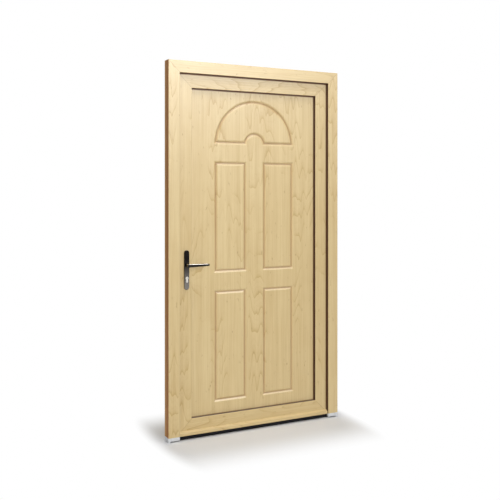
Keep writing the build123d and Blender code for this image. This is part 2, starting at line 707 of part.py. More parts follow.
# Steel inside the leaf
steel_inset = rebate_base + STEEL_END_GAP
stile_ends = (leaf_bottom + steel_inset, leaf_top - steel_inset)
rail_ends = (-leaf_x + steel_inset, leaf_x - steel_inset)
nodes["stile_steel_lock"] = drill(
    straight(leaf_steel_section, "lock", LEAF_RECT, stile_ends),
    handle_holes + [case_room] + hook_room + faceplate_screws,
)
nodes["stile_steel_hinge"] = drill(
    straight(leaf_steel_section, "hinge", LEAF_RECT, stile_ends), leaf_hinge_screws
)
nodes["rail_steel_top"] = straight(leaf_steel_section, "top", LEAF_RECT, rail_ends)
nodes["rail_steel_bottom"] = straight(leaf_steel_section, "bottom", LEAF_RECT, rail_ends)

# Seals on the leaf
flange_seal_section = rect(
    flange_seal_a, flange_seal_a + SEAL_GROOVE, flange_face, flange_face + SEAL_GROOVE_DEPTH
) + area(
    (flange_seal_a - SEAL_GROOVE / 2, flange_face),
    (flange_seal_a + SEAL_HEAD - SEAL_GROOVE / 2, flange_face),
    (flange_seal_a + SEAL_NOSE, FRAME_DEPTH + GAP),
    (flange_seal_a, FRAME_DEPTH + GAP),
    rounds={2: FLANGE_SEAL_ROUND, 3: FLANGE_SEAL_ROUND},
)
nodes["leaf_seal"] = loop(flange_seal_section, LEAF_RECT, low=leaf_bottom)
sweep_seal_section = rect(
    lock_y - GROOVE_WIDTH / 2, lock_y + GROOVE_WIDTH / 2, leaf_bottom, leaf_bottom + GROOVE_DEPTH
) + rect(
    lock_y - SWEEP_THICKNESS / 2,
    lock_y + SWEEP_THICKNESS / 2,
    THRESHOLD_HEIGHT + GAP,
    leaf_bottom,
)
nodes["bottom_seal"] = extrude(
    side_plane * sweep_seal_section, amount=leaf_x - GROOVE_DEPTH - SLIP, both=True
)

# Weather bar: a hollow drip rail on the leaf's foot, closed at its ends
bar_top = leaf_bottom + BAR_TOP_ABOVE_LEAF
bar_bottom = bar_top - BAR_HEIGHT
bar_front = leaf_front - BAR_REACH
bar_shoulder = bar_bottom + BAR_FRONT
bar_half = half_width - FRAME_FACE - BAR_END_GAP
bar_outline = area(
    (leaf_front, bar_bottom),
    (leaf_front, bar_top),
    (bar_front, bar_shoulder),
    (bar_front, bar_bottom),
    rounds={2: BAR_NOSE},
)
bar_slope = (bar_top - bar_shoulder) / BAR_REACH
bar_hollow = area(
    (leaf_front - BAR_WALL, bar_bottom),
    (leaf_front - BAR_WALL, bar_top - BAR_WALL * (1 + bar_slope)),
    (bar_front + BAR_WALL, bar_shoulder - BAR_WALL * (1 - bar_slope)),
    (bar_front + BAR_WALL, bar_bottom),
)
nodes["weather_bar"] = extrude(side_plane * bar_outline, amount=bar_half, both=True) - extrude(
    side_plane * bar_hollow, amount=bar_half - BAR_WALL, both=True
)

# Panel: outer skin with its moulded pattern, foam core, inner skin
panel_x = leaf_x - panel_inset
panel_z = (leaf_bottom + panel_inset, leaf_top - panel_inset)
panel_outline = rect(-panel_x, panel_x, *panel_z)


def field_outline(side, low, high, inset):
    """A rectangular field on one side of the centre line, drawn in by inset."""
    inner = FIELD_INNER + inset
    outer = FIELD_OUTER - inset
    x = (inner, outer) if side > 0 else (-outer, -inner)
    return rect(*x, low + inset, high - inset)


def fan_outline(inset):
    """The half round field, drawn in by inset, with its own neck round the middle stile."""
    outer = FIELD_OUTER - inset
    inner = FIELD_INNER + inset
    base = fan_base + inset
    outer_x = sqrt(outer**2 - inset**2)
    inner_x = sqrt(inner**2 - inset**2)
    edges = [
        ThreePointArc((outer_x, base), (0, fan_base + outer), (-outer_x, base)),
        Line((-outer_x, base), (-inner_x, base)),
        ThreePointArc((-inner_x, base), (0, fan_base + inner), (inner_x, base)),
        Line((inner_x, base), (outer_x, base)),
    ]
    return make_face(edges)


def moulded(outline):
    """The groove round one field: a sunk V with a narrow floor."""
    floor_y = panel_front + MOULD_DEPTH
    side_run = (MOULD_WIDTH - MOULD_FLOOR) / 2
    pit = loft(
        [facing(panel_front) * outline(0), facing(floor_y) * outline(side_run)], ruled=True
    )
    island = loft(
        [
            facing(panel_front) * outline(MOULD_WIDTH),
            facing(floor_y) * outline(MOULD_WIDTH - side_run),
        ],
        ruled=True,
    )
    return pit - island


outer_skin = slab(panel_outline, panel_front, skin_back)
for low, high in (lower_field, upper_field):
    for side in (-1, 1):
        outer_skin -= moulded(lambda inset: field_outline(side, low, high, inset))
outer_skin -= moulded(fan_outline)
nodes["panel_outer_skin"] = outer_skin
nodes["panel_core"] = slab(panel_outline, skin_back, core_back)
nodes["panel_inner_skin"] = slab(panel_outline, core_back, panel_back)

# Packers under and beside the panel
packer_y = (panel_front + PACKER_SIDE_GAP, panel_back - PACKER_SIDE_GAP)
packers = []
for sign in (-1, 1):
    x = sorted((sign * (leaf_x - rebate_base), sign * panel_x))
    foot_out = panel_x - PACKER_INSET
    foot_x = sorted((sign * foot_out, sign * (foot_out - PACKER_LENGTH)))
    for z in (panel_z[0] + PACKER_INSET, panel_z[1] - PACKER_INSET - PACKER_LENGTH):
        packers.append(block(x, packer_y, (z, z + PACKER_LENGTH)))
    packers.append(block(foot_x, packer_y, (leaf_bottom + rebate_base, panel_z[0])))
nodes["panel_packers"] = Compound([piece.solid() for piece in packers])

# Glazing seals and beads
seal_edge = LEAF_FACE - PANEL_SEAL_INSET
all_sides = ("lock", "top", "hinge", "bottom")
nodes["panel_seal_outer"] = loop(
    rect(seal_edge - PANEL_SEAL_WIDTH, seal_edge, leaf_front + GLAZING_LIP, panel_front),
    LEAF_RECT,
    all_sides,
)
nodes["panel_seal_inner"] = loop(
    rect(seal_edge - PANEL_SEAL_WIDTH, seal_edge, panel_back, bead_front), LEAF_RECT, all_sides
)
bead_section = area(
    (rebate_base, bead_front),
    (LEAF_FACE, bead_front),
    (LEAF_FACE - BEAD_TAPER, leaf_back),
    (rebate_base, leaf_back),
    rounds={1: EDGE_ROUND / 2, 2: EDGE_ROUND},
)
bead_section -= rect(
    rebate_base + PROFILE_WALL,
    LEAF_FACE - 2 * PROFILE_WALL,
    bead_front + PROFILE_WALL,
    leaf_back - PROFILE_WALL,
)
for side in all_sides:
    nodes[f"bead_{side}"] = member(bead_section, side, LEAF_RECT)

# Hinges: a frame part with the lower knuckle, a leaf part with the upper one, and a pin
pins = []
for name, z in zip(("lower", "middle", "upper"), hinge_heights):
    plate_z = (z - HINGE_PLATE_HEIGHT / 2, z + HINGE_PLATE_HEIGHT / 2)
    plate_y = (FRAME_DEPTH, FRAME_DEPTH + HINGE_PLATE)
    plate_x0 = frame_plate_x - HINGE_FRAME_PLATE_WIDTH / 2
    plate_x1 = frame_plate_x + HINGE_FRAME_PLATE_WIDTH / 2
    lower_z = (z - KNUCKLE_LENGTH, z)
    upper_z = (z + GAP, z + KNUCKLE_LENGTH)
    frame_part = block((plate_x0, plate_x1), plate_y, plate_z)
    frame_part += block((hinge_x, plate_x1), (FRAME_DEPTH, hinge_y), lower_z)
    frame_part += Pos(hinge_x, hinge_y, sum(lower_z) / 2) * Cylinder(KNUCKLE_RADIUS, KNUCKLE_LENGTH)
    frame_part -= Pos(hinge_x, hinge_y, z) * Cylinder(HINGE_PIN_RADIUS, 3 * KNUCKLE_LENGTH)
    nodes[f"hinge_{name}_frame"] = drill(frame_part, frame_hinge_screws)
    leaf_part = block(
        (leaf_plate_x - HINGE_LEAF_PLATE_WIDTH, leaf_plate_x),
        (leaf_back, leaf_back + HINGE_PLATE),
        plate_z,
    )
    leaf_part += block((leaf_plate_x, hinge_x), (leaf_back, leaf_back + HINGE_PLATE), upper_z)
    leaf_part += block(
        (leaf_plate_x + HINGE_PLATE_INSET + GAP, hinge_x),
        (hinge_y, leaf_back + HINGE_PLATE),
        upper_z,
    )
    leaf_part += Pos(hinge_x, hinge_y, sum(upper_z) / 2) * Cylinder(
        KNUCKLE_RADIUS, upper_z[1] - upper_z[0]
    )
    leaf_part -= Pos(hinge_x, hinge_y, z) * Cylinder(
        HINGE_PIN_RADIUS + RUNNING, 3 * KNUCKLE_LENGTH
    )
    nodes[f"hinge_{name}_leaf"] = drill(leaf_part, leaf_hinge_screws)
    pins.append(
        Pos(hinge_x, hinge_y, z)
        * Cylinder(HINGE_PIN_RADIUS, 2 * KNUCKLE_LENGTH - HINGE_PIN_SHORT)
    )
nodes["hinge_pins"] = Compound([pin.solid() for pin in pins])

# Lock: faceplate, case, follower, latch, dead bolt
arm_start = HOOK_REST_ANGLE + HOOK_SPAN - HOOK_ARM_SPAN
plate_near = HOOK_PIVOT_DEPTH - FACEPLATE_THICKNESS
hook_slot = (
    plate_near * tan(radians(arm_start - HOOK_THROW)) - 2 * BOLT_CLEARANCE,
    sqrt(HOOK_OUTER**2 - plate_near**2) + BOLT_CLEARANCE,
)
faceplate = block(
    (lock_x, lock_x + FACEPLATE_THICKNESS),
    (lock_y - GROOVE_WIDTH / 2 + GAP / 2, lock_y + GROOVE_WIDTH / 2 - GAP / 2),
    faceplate_z,
)
case = block(lock_case_x, lock_case_y, lock_z)


def channel(z, height, x_end):
    """Room for a sliding bolt."""
    return block(
        (lock_x - OVERCUT, x_end),
        (bolt_y[0] - GAP, bolt_y[1] + GAP),
        (z - height / 2 - GAP, z + height / 2 + GAP),
    )


latch_x0 = lock_x - LATCH_THROW
latch_room = channel(
    SPINDLE_HEIGHT, LATCH_HEIGHT, latch_x0 + LATCH_LENGTH + LATCH_THROW + SLIP
)
bolt_room = channel(deadbolt_z, DEADBOLT_HEIGHT, lock_x + DEADBOLT_LENGTH + SLIP)
hook_slots = [
    block(
        (lock_x - OVERCUT, lock_x + FACEPLATE_THICKNESS + OVERCUT),
        (lock_y - HOOK_THICKNESS / 2 - GAP, lock_y + HOOK_THICKNESS / 2 + GAP),
        (z + hook_slot[0], z + hook_slot[1]),
    )
    for z in hook_heights
]
nodes["lock_faceplate"] = drill(
    faceplate, [latch_room, bolt_room] + hook_slots + faceplate_screws
)
nodes["lock_case"] = case - [
    latch_room,
    bolt_room,
    rod(spindle_x, SPINDLE_HEIGHT, FOLLOWER_RADIUS + RUNNING, *lock_case_y),
    slab(cylinder_outline(GAP), *lock_case_y),
    rod(
        spindle_x,
        cylinder_z,
        CAM_RADIUS + GAP,
        lock_y - CAM_THICKNESS / 2 - GAP,
        lock_y + CAM_THICKNESS / 2 + GAP,
    ),
]
square_side = SPINDLE_SIZE + 2 * RUNNING
square_hole = slab(
    Pos(spindle_x, SPINDLE_HEIGHT) * Rectangle(square_side, square_side),
    leaf_front - LEVER_STAND,
    leaf_back + LEVER_STAND,
)
nodes["lock_follower"] = rod(spindle_x, SPINDLE_HEIGHT, FOLLOWER_RADIUS, *lock_case_y) - square_hole
latch = block(
    (latch_x0, latch_x0 + LATCH_LENGTH),
    bolt_y,
    (SPINDLE_HEIGHT - LATCH_HEIGHT / 2, SPINDLE_HEIGHT + LATCH_HEIGHT / 2),
)
latch_nose = area(
    (latch_x0 - OVERCUT, bolt_y[0] - OVERCUT),
    (latch_x0 + LATCH_THROW, bolt_y[0] - OVERCUT),
    (latch_x0 + LATCH_THROW, bolt_y[0]),
    (latch_x0, bolt_y[1] - LATCH_NOSE_FLAT),
    (latch_x0 - OVERCUT, bolt_y[1] - LATCH_NOSE_FLAT),
)
nodes["latch_bolt"] = latch - Pos(0, 0, SPINDLE_HEIGHT) * extrude(
    latch_nose, amount=LATCH_HEIGHT, both=True
)
deadbolt = block(
    (lock_x, lock_x + DEADBOLT_LENGTH),
    bolt_y,
    (deadbolt_z - DEADBOLT_HEIGHT / 2, deadbolt_z + DEADBOLT_HEIGHT / 2),
)
nodes["deadbolt"] = chamfer(deadbolt.faces().sort_by(Axis.X)[0].edges(), DEADBOLT_CHAMFER)

# Hook bolts: curved claws that swing about a pivot in their cases
def sector(radius_in, radius_out, start, span):
    """A ring sector about the hook's pivot; angles rise from the frame side upwards."""
    a0 = radians(start)
    a1 = radians(start + span)
    mid = (a0 + a1) / 2

    def at(radius, angle):
        return (-radius * cos(angle), radius * sin(angle))

    edges = [
        ThreePointArc(at(radius_out, a0), at(radius_out, mid), at(radius_out, a1)),
        Line(at(radius_out, a1), at(radius_in, a1)),
        ThreePointArc(at(radius_in, a1), at(radius_in, mid), at(radius_in, a0)),
        Line(at(radius_in, a0), at(radius_out, a0)),
    ]
    return make_face(edges)


hook_outline = (
    sector(HOOK_INNER, HOOK_OUTER, HOOK_REST_ANGLE, HOOK_SPAN)
    + sector(HOOK_HUB - HOOK_LAP, HOOK_INNER + HOOK_LAP, arm_start, HOOK_ARM_SPAN)
    + Circle(HOOK_HUB)
    - Circle(HOOK_PIVOT + RUNNING)
)
hook_y = (lock_y - HOOK_THICKNESS / 2, lock_y + HOOK_THICKNESS / 2)
for name, z in zip(("lower", "upper"), hook_heights):
    nodes[f"hook_{name}"] = slab(Pos(hook_x, z) * hook_outline, *hook_y)
    hook_case = block(hook_case_x, lock_case_y, (z - HOOK_CASE_BELOW, z + HOOK_CASE_ABOVE))
    room = rod(hook_x, z, HOOK_OUTER + GAP, hook_y[0] - GAP, hook_y[1] + GAP)
    room &= block(
        hook_case_x,
        lock_case_y,
        (z - HOOK_CASE_BELOW + HOOK_CASE_FLOOR, z + HOOK_CASE_ABOVE),
    )
    pivot = rod(hook_x, z, HOOK_PIVOT, *lock_case_y)
    nodes[f"hook_case_{name}"] = hook_case - room + pivot

# Keeps on the lock jamb
keep_slot = (
    sqrt(HOOK_INNER**2 - (hook_x - rebate_x) ** 2) - BOLT_CLEARANCE,
    sqrt(HOOK_OUTER**2 - (hook_x - keep_front) ** 2) + BOLT_CLEARANCE,
)
for name, (low, high) in keep_ranges.items():
    keep = block(
        (rebate_x, keep_front), (keep_y - keep_half, keep_y + keep_half), (low, high)
    )
    if name == "main_keep":
        keep -= block(
            (rebate_x - OVERCUT, keep_front + OVERCUT),
            (bolt_y[0] - BOLT_CLEARANCE, keep_y + keep_half + OVERCUT),
            (
                SPINDLE_HEIGHT - LATCH_HEIGHT / 2 - BOLT_CLEARANCE,
                SPINDLE_HEIGHT + LATCH_HEIGHT / 2 + BOLT_CLEARANCE,
            ),
        )
        keep -= bolt_pocket(OVERCUT)
    else:
        z = low + HOOK_KEEP_BELOW
        keep -= block(
            (rebate_x - OVERCUT, keep_front + OVERCUT),
            (lock_y - hook_half, lock_y + hook_half),
            (z + keep_slot[0], z + keep_slot[1]),
        )
    nodes[name] = drill(keep, keep_screws)

# Handle set: plates, levers, spindle
plate_z = (SPINDLE_HEIGHT - PLATE_BELOW, SPINDLE_HEIGHT + PLATE_ABOVE)
plate_outline = Pos(spindle_x, sum(plate_z) / 2) * SlotOverall(
    plate_z[1] - plate_z[0], PLATE_WIDTH, rotation=90
)


def handle_plate(y_leaf, y_face):
    """A long plate with rounded ends and a softened front edge."""
    low, high = sorted((y_leaf, y_face))
    plate = slab(plate_outline, low, high)
    face = plate.faces().sort_by(Axis.Y)[0 if y_face < y_leaf else -1]
    plate = fillet(face.edges(), PLATE_EDGE)
    return plate - [
        rod(spindle_x, SPINDLE_HEIGHT, NECK_RADIUS + GAP, low - OVERCUT, high + OVERCUT),
        slab(cylinder_outline(GAP), low - OVERCUT, high + OVERCUT),
    ]


nodes["plate_outer"] = handle_plate(leaf_front, plate_outer_y) - [
    rod(spindle_x, z, PLATE_SCREW_RADIUS, plate_outer_y + PLATE_SCREW_SHORT, leaf_front)
    for z in plate_screw_z
]
nodes["plate_inner"] = drill(handle_plate(leaf_back, plate_inner_y), plate_screws)


def lever_solid():
    """The outer lever: a round neck, a bend and a tapering bar whose tip turns to the leaf."""
    front_y = leaf_front - LEVER_STAND - LEVER_DEPTH / 2
    back_y = front_y + LEVER_DEPTH
    bend_half = NECK_RADIUS - NECK_SHOULDER
    root_y = plate_outer_y - OVERCUT
    plan = area(
        (-bend_half, root_y),
        (-bend_half, front_y),
        (LEVER_REACH - LEVER_TIP_ROUND, front_y),
        (LEVER_REACH, front_y + LEVER_TIP_RETURN),
        (LEVER_REACH - LEVER_TIP_SLANT, back_y + LEVER_TIP_RETURN - LEVER_TIP_NOSE),
        (LEVER_REACH - LEVER_TIP_BEND, back_y),
        (bend_half, back_y),
        (bend_half, root_y),
        rounds={
            1: LEVER_ELBOW,
            2: LEVER_TIP_ROUND,
            3: LEVER_TIP_NOSE,
            4: LEVER_TIP_NOSE,
            5: LEVER_ELBOW,
            6: LEVER_CROOK,
        },
    )
    arm = extrude(plan, amount=LEVER_HEIGHT / 2, both=True)
    top = LEVER_HEIGHT / 2
    tip_top = top - LEVER_TOP_FALL
    front = area(
        (-NECK_RADIUS, -top),
        (2 * NECK_RADIUS, -top),
        (LEVER_REACH + OVERCUT, tip_top - LEVER_TIP_HEIGHT),
        (LEVER_REACH + OVERCUT, tip_top),
        (2 * NECK_RADIUS, top),
        (-NECK_RADIUS, top),
    )
    arm &= slab(front, front_y - OVERCUT, leaf_front)
    collar_y = plate_outer_y - NECK_COLLAR
    edges = arm.edges().filter_by(lambda edge: edge.center().Y < collar_y)
    neck = rod(0, 0, NECK_RADIUS, collar_y, leaf_front - NECK_INSET)
    return Pos(spindle_x, 0, SPINDLE_HEIGHT) * (fillet(edges, LEVER_EDGE) + neck)


lever = lever_solid() - square_hole
nodes["lever_outer"] = lever
middle = Plane(origin=(0, (leaf_front + leaf_back) / 2, 0), z_dir=(0, 1, 0))
nodes["lever_inner"] = mirror(lever, about=middle)
spindle_end = LEVER_STAND - LEVER_DEPTH
nodes["spindle"] = slab(
    Pos(spindle_x, SPINDLE_HEIGHT) * Rectangle(SPINDLE_SIZE, SPINDLE_SIZE),
    leaf_front - spindle_end,
    leaf_back + spindle_end,
)

# Profile cylinder: a body with a bridge below, and a plug with its cam
cylinder_y = (plate_outer_y - CYLINDER_PROUD, plate_inner_y + CYLINDER_PROUD)
cam_room = (lock_y - CAM_THICKNESS / 2 - GAP, lock_y + CAM_THICKNESS / 2 + GAP)
nodes["cylinder_body"] = slab(cylinder_outline(), *cylinder_y) - [
    rod(spindle_x, cylinder_z, PLUG_RADIUS + RUNNING, *cylinder_y),
    block(
        (spindle_x - CAM_RADIUS, spindle_x + CAM_RADIUS),
        cam_room,
        (cylinder_z - BRIDGE_DEPTH, cylinder_z + CAM_RADIUS),
    ),
]
plug = rod(spindle_x, cylinder_z, PLUG_RADIUS, *cylinder_y)
cam_y = (lock_y - CAM_THICKNESS / 2, lock_y + CAM_THICKNESS / 2)
plug += rod(spindle_x, cylinder_z, CYLINDER_RADIUS, *cam_y)
plug += slab(
    Pos(spindle_x, cylinder_z)
    * (rect(-CAM_WIDTH / 2, CAM_WIDTH / 2, -CAM_RADIUS, 0) & Circle(CAM_RADIUS)),
    *cam_y,
)
for key_y in (
    (cylinder_y[0], cylinder_y[0] + KEY_SLOT_DEPTH),
    (cylinder_y[1] - KEY_SLOT_DEPTH, cylinder_y[1]),
):
    plug -= block(
        (spindle_x - KEY_SLOT_WIDTH / 2, spindle_x + KEY_SLOT_WIDTH / 2),
        key_y,
        (cylinder_z - KEY_SLOT_HEIGHT / 2, cylinder_z + KEY_SLOT_HEIGHT / 2),
    )
nodes["cylinder_plug"] = plug

# Screws, one node for each kind and each body
nodes["frame_screws"] = Compound([s.solid() for s in keep_screws + frame_hinge_screws])
nodes["leaf_screws"] = Compound([s.solid() for s in leaf_hinge_screws + faceplate_screws])
nodes["plate_screws"] = Compound([s.solid() for s in plate_screws])

os.makedirs("parts", exist_ok=True)
to_origin = Pos(0, -FRAME_DEPTH / 2, 0)
for name, shape in nodes.items():
    export_step(to_origin * shape, f"parts/{name}.step")
print(len(nodes), "pieces written")
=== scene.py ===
"""Looks, light and camera for a panelled front door hung in its frame.

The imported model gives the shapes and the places. This script gives every piece its finish,
models the pieces that need finer shapes, and sets up a plain studio. Lengths are in metres.
"""

from __future__ import annotations

import logging
import math
from dataclasses import dataclass
from enum import Enum
from typing import Callable, Iterable, Sequence

import bmesh
import bpy
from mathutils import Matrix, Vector

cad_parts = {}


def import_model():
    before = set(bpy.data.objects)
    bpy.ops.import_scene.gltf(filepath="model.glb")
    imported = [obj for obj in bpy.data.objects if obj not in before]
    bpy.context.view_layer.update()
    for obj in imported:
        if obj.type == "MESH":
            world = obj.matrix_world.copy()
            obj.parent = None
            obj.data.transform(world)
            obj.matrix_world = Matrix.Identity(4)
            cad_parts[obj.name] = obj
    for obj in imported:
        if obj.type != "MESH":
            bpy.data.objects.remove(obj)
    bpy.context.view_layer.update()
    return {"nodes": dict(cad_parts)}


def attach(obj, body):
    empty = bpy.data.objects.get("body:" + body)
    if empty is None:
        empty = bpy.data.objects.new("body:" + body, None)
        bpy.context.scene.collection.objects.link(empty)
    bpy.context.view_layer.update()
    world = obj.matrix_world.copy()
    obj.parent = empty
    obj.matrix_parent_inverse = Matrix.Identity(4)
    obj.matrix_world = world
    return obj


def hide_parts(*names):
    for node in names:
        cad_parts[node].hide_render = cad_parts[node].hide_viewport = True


Colour = tuple[float, float, float]
Point = tuple[float, float, float]
Span = tuple[float, float]
Piece = bpy.types.Object
Socket = bpy.types.NodeSocket
Sockets = bpy.types.NodeOutputs
Edge = bmesh.types.BMEdge
Face = bmesh.types.BMFace

FLOAT = "NodeSocketFloat"
VECTOR = "NodeSocketVector"
COLOUR = "NodeSocketColor"

log = logging.getLogger("front_door")


def tone(red: int, green: int, blue: int) -> Colour:
    """A colour written in display values, as the linear one that a shader takes."""
    parts = []
    for value in (red, green, blue):
        share = value / 255
        parts.append(share / 12.92 if share <= 0.04045 else ((share + 0.055) / 1.055) ** 2.4)
    return (parts[0], parts[1], parts[2])


class Grain(Enum):
    """The way the wood figure of a foil runs."""

    UPRIGHT = "upright"
    LEVEL = "level"


class NodeSheet:
    """Short calls for laying out one node tree."""

    def __init__(self, tree: bpy.types.NodeTree) -> None:
        """Takes the tree to work in."""
        self.tree = tree

    @classmethod
    def blank(cls, owner: bpy.types.ID) -> NodeSheet:
        """The emptied tree of a material or a world."""
        owner.use_nodes = True
        owner.node_tree.nodes.clear()
        return cls(owner.node_tree)

    def new(self, kind: str) -> bpy.types.Node:
        """Adds a node by its type without the "ShaderNode" prefix."""
        return self.tree.nodes.new("ShaderNode" + kind)

    def add(self, kind: str, **values: object) -> bpy.types.Node:
        """Adds a node and fills its inputs.

        Args:
            kind: the node's type, as new() takes it.
            **values: its inputs, as fill() takes them.

        Returns:
            The new node.
        """
        node = self.new(kind)
        self.fill(node, **values)
        return node

    def fill(self, node: bpy.types.Node, **values: object) -> None:
        """Feeds a node's inputs by name, with underscores for spaces."""
        for name, value in values.items():
            self.feed(node.inputs[name.replace("_", " ")], value)

    def feed(self, target: Socket, value: object) -> None:
        """Links a socket to an input, or writes a plain value into it.

        Args:
            target: the input.
            value: a socket, a number, a colour or a vector.
        """
        if isinstance(value, bpy.types.NodeSocket):
            self.tree.links.new(value, target)
        elif isinstance(value, tuple) and target.type == "RGBA":
            target.default_value = (*value[:3], 1.0)
        else:
            target.default_value = value

    def math(self, operation: str, first: object, second: object = 0.0) -> Socket:
        """One sum on numbers.

        Args:
            operation: the name of the sum.
            first: its first term.
            second: its second term.

        Returns:
            The result's socket.
        """
        node = self.new("Math")
        node.operation = operation
        self.feed(node.inputs[0], first)
        self.feed(node.inputs[1], second)
        return node.outputs[0]

    def times(self, first: object, second: object) -> Socket:
        """The product of two numbers."""
        return self.math("MULTIPLY", first, second)

    def plus(self, first: object, second: object) -> Socket:
        """The sum of two numbers."""
        return self.math("ADD", first, second)

    def minus(self, first: object, second: object) -> Socket:
        """The first number less the second."""
        return self.math("SUBTRACT", first, second)

    def size(self, value: object) -> Socket:
        """A number without its sign."""
        return self.math("ABSOLUTE", value)

    def most(self, first: object, second: object) -> Socket:
        """The greater of two numbers."""
        return self.math("MAXIMUM", first, second)

    def fade(self, value: object, low: float, high: float) -> Socket:
        """A soft step.

        Args:
            value: what is tested.
            low: where the step starts, at 0.
            high: where it ends, at 1. It may be below low.

        Returns:
            The step's socket.
        """
        node = self.new("MapRange")
        node.interpolation_type = "SMOOTHSTEP"
        ends = (low, high, 0.0, 1.0) if low < high else (high, low, 1.0, 0.0)
        names = ("From_Min", "From_Max", "To_Min", "To_Max")
        self.fill(node, Value=value, **dict(zip(names, ends)))
        return node.outputs["Result"]

    def blend(self, share: object, first: object, second: object) -> Socket:
        """A mix of two colours.

        Args:
            share: how much of the second colour.
            first: the first colour.
            second: the second colour.

        Returns:
            The mixed colour's socket.
        """
        node = self.new("Mix")
        node.data_type = "RGBA"
        self.feed(node.inputs[0], share)
        self.feed(node.inputs[6], first)
        self.feed(node.inputs[7], second)
        return node.outputs[2]

    def vector(self, operation: str, first: object, second: object) -> Socket:
        """One sum on two vectors."""
        node = self.new("VectorMath")
        node.operation = operation
        self.feed(node.inputs[0], first)
        self.feed(node.inputs[1], second)
        return node.outputs[0]

    def noise(
        self, place: object, stretch: Point, detail: float = 2.0, roughness: float = 0.5
    ) -> Socket:
        """Cloudy noise, stretched by a number of blobs to the metre each way.

        Args:
            place: the coordinates.
            stretch: blobs to the metre along each axis.
            detail: finer layers.
            roughness: how strong they are.

        Returns:
            The noise's socket, about 0.5 in the mean.
        """
        scaled = self.vector("MULTIPLY", place, stretch)
        node = self.add("TexNoise", Vector=scaled, Scale=1.0, Detail=detail, Roughness=roughness)
        return node.outputs["Fac"]

    def parts(self, place: object) -> Sockets:
        """The three parts of a vector."""
        return self.add("SeparateXYZ", Vector=place).outputs


class SurfaceSheet(NodeSheet):
    """The node tree of one material, with its shader and its object coordinates."""

    def __init__(self, tree: bpy.types.NodeTree) -> None:
        """Lays out the shader and the coordinates."""
        super().__init__(tree)
        self.shader = self.new("BsdfPrincipled")
        self.add("OutputMaterial", Surface=self.shader.outputs[0])
        self.place = self.new("TexCoord").outputs["Object"]

    def surface(self, colour: object, gloss: object, height: object, strength: float) -> None:
        """Feeds the shader with what every finish has.

        Args:
            colour: the base colour.
            gloss: the roughness.
            height: the height of the relief, in metres.
            strength: how strongly the relief shows.
        """
        bump = self.add("Bump", Strength=strength, Distance=1.0, Height=height)
        self.fill(self.shader, Base_Color=colour, Roughness=gloss, Normal=bump.outputs[0])


@dataclass(frozen=True)
class Cloud:
    """Noise with a soft threshold: its blobs to the metre and where the step starts and ends."""

    stretch: Point
    low: float
    high: float
    detail: float = 2.0
    roughness: float = 0.5

    def lay(self, sheet: NodeSheet, place: object) -> Socket:
        """The noise's mask, from 0 to 1."""
        noise = sheet.noise(place, self.stretch, self.detail, self.roughness)
        return sheet.fade(noise, self.low, self.high)


class Effect:
    """A shared pattern, kept as one node group and placed in each finish that uses it."""

    NAME = ""
    INPUTS: dict[str, str] = {}
    OUTPUTS: dict[str, str] = {}

    @classmethod
    def group(cls) -> bpy.types.NodeTree:
        """The pattern's node group, built on first use."""
        found = bpy.data.node_groups.get(cls.NAME)
        if found:
            return found
        tree = bpy.data.node_groups.new(cls.NAME, "ShaderNodeTree")
        for name, kind in cls.INPUTS.items():
            tree.interface.new_socket(name=name, in_out="INPUT", socket_type=kind)
        for name, kind in cls.OUTPUTS.items():
            tree.interface.new_socket(name=name, in_out="OUTPUT", socket_type=kind)
        sheet = NodeSheet(tree)
        given = tree.nodes.new("NodeGroupInput").outputs
        results = tree.nodes.new("NodeGroupOutput").inputs
        for name, socket in cls.draw(sheet, given).items():
            sheet.feed(results[name], socket)
        return tree

    @classmethod
    def draw(cls, sheet: NodeSheet, given: Sockets) -> dict[str, Socket]:
        """Lays out the pattern; each effect has its own.

        Args:
            sheet: the group's sheet.
            given: the group's inputs.

        Returns:
            What the group gives out, by name.
        """
        raise NotImplementedError

    @classmethod
    def place(cls, sheet: NodeSheet, **values: object) -> Sockets:
        """Puts the effect into a material.

        Args:
            sheet: the material's sheet.
            **values: the effect's inputs, as fill() takes them.

        Returns:
            The effect's outputs.
        """
        node = sheet.new("Group")
        node.node_tree = cls.group()
        sheet.fill(node, **values)
        return node.outputs


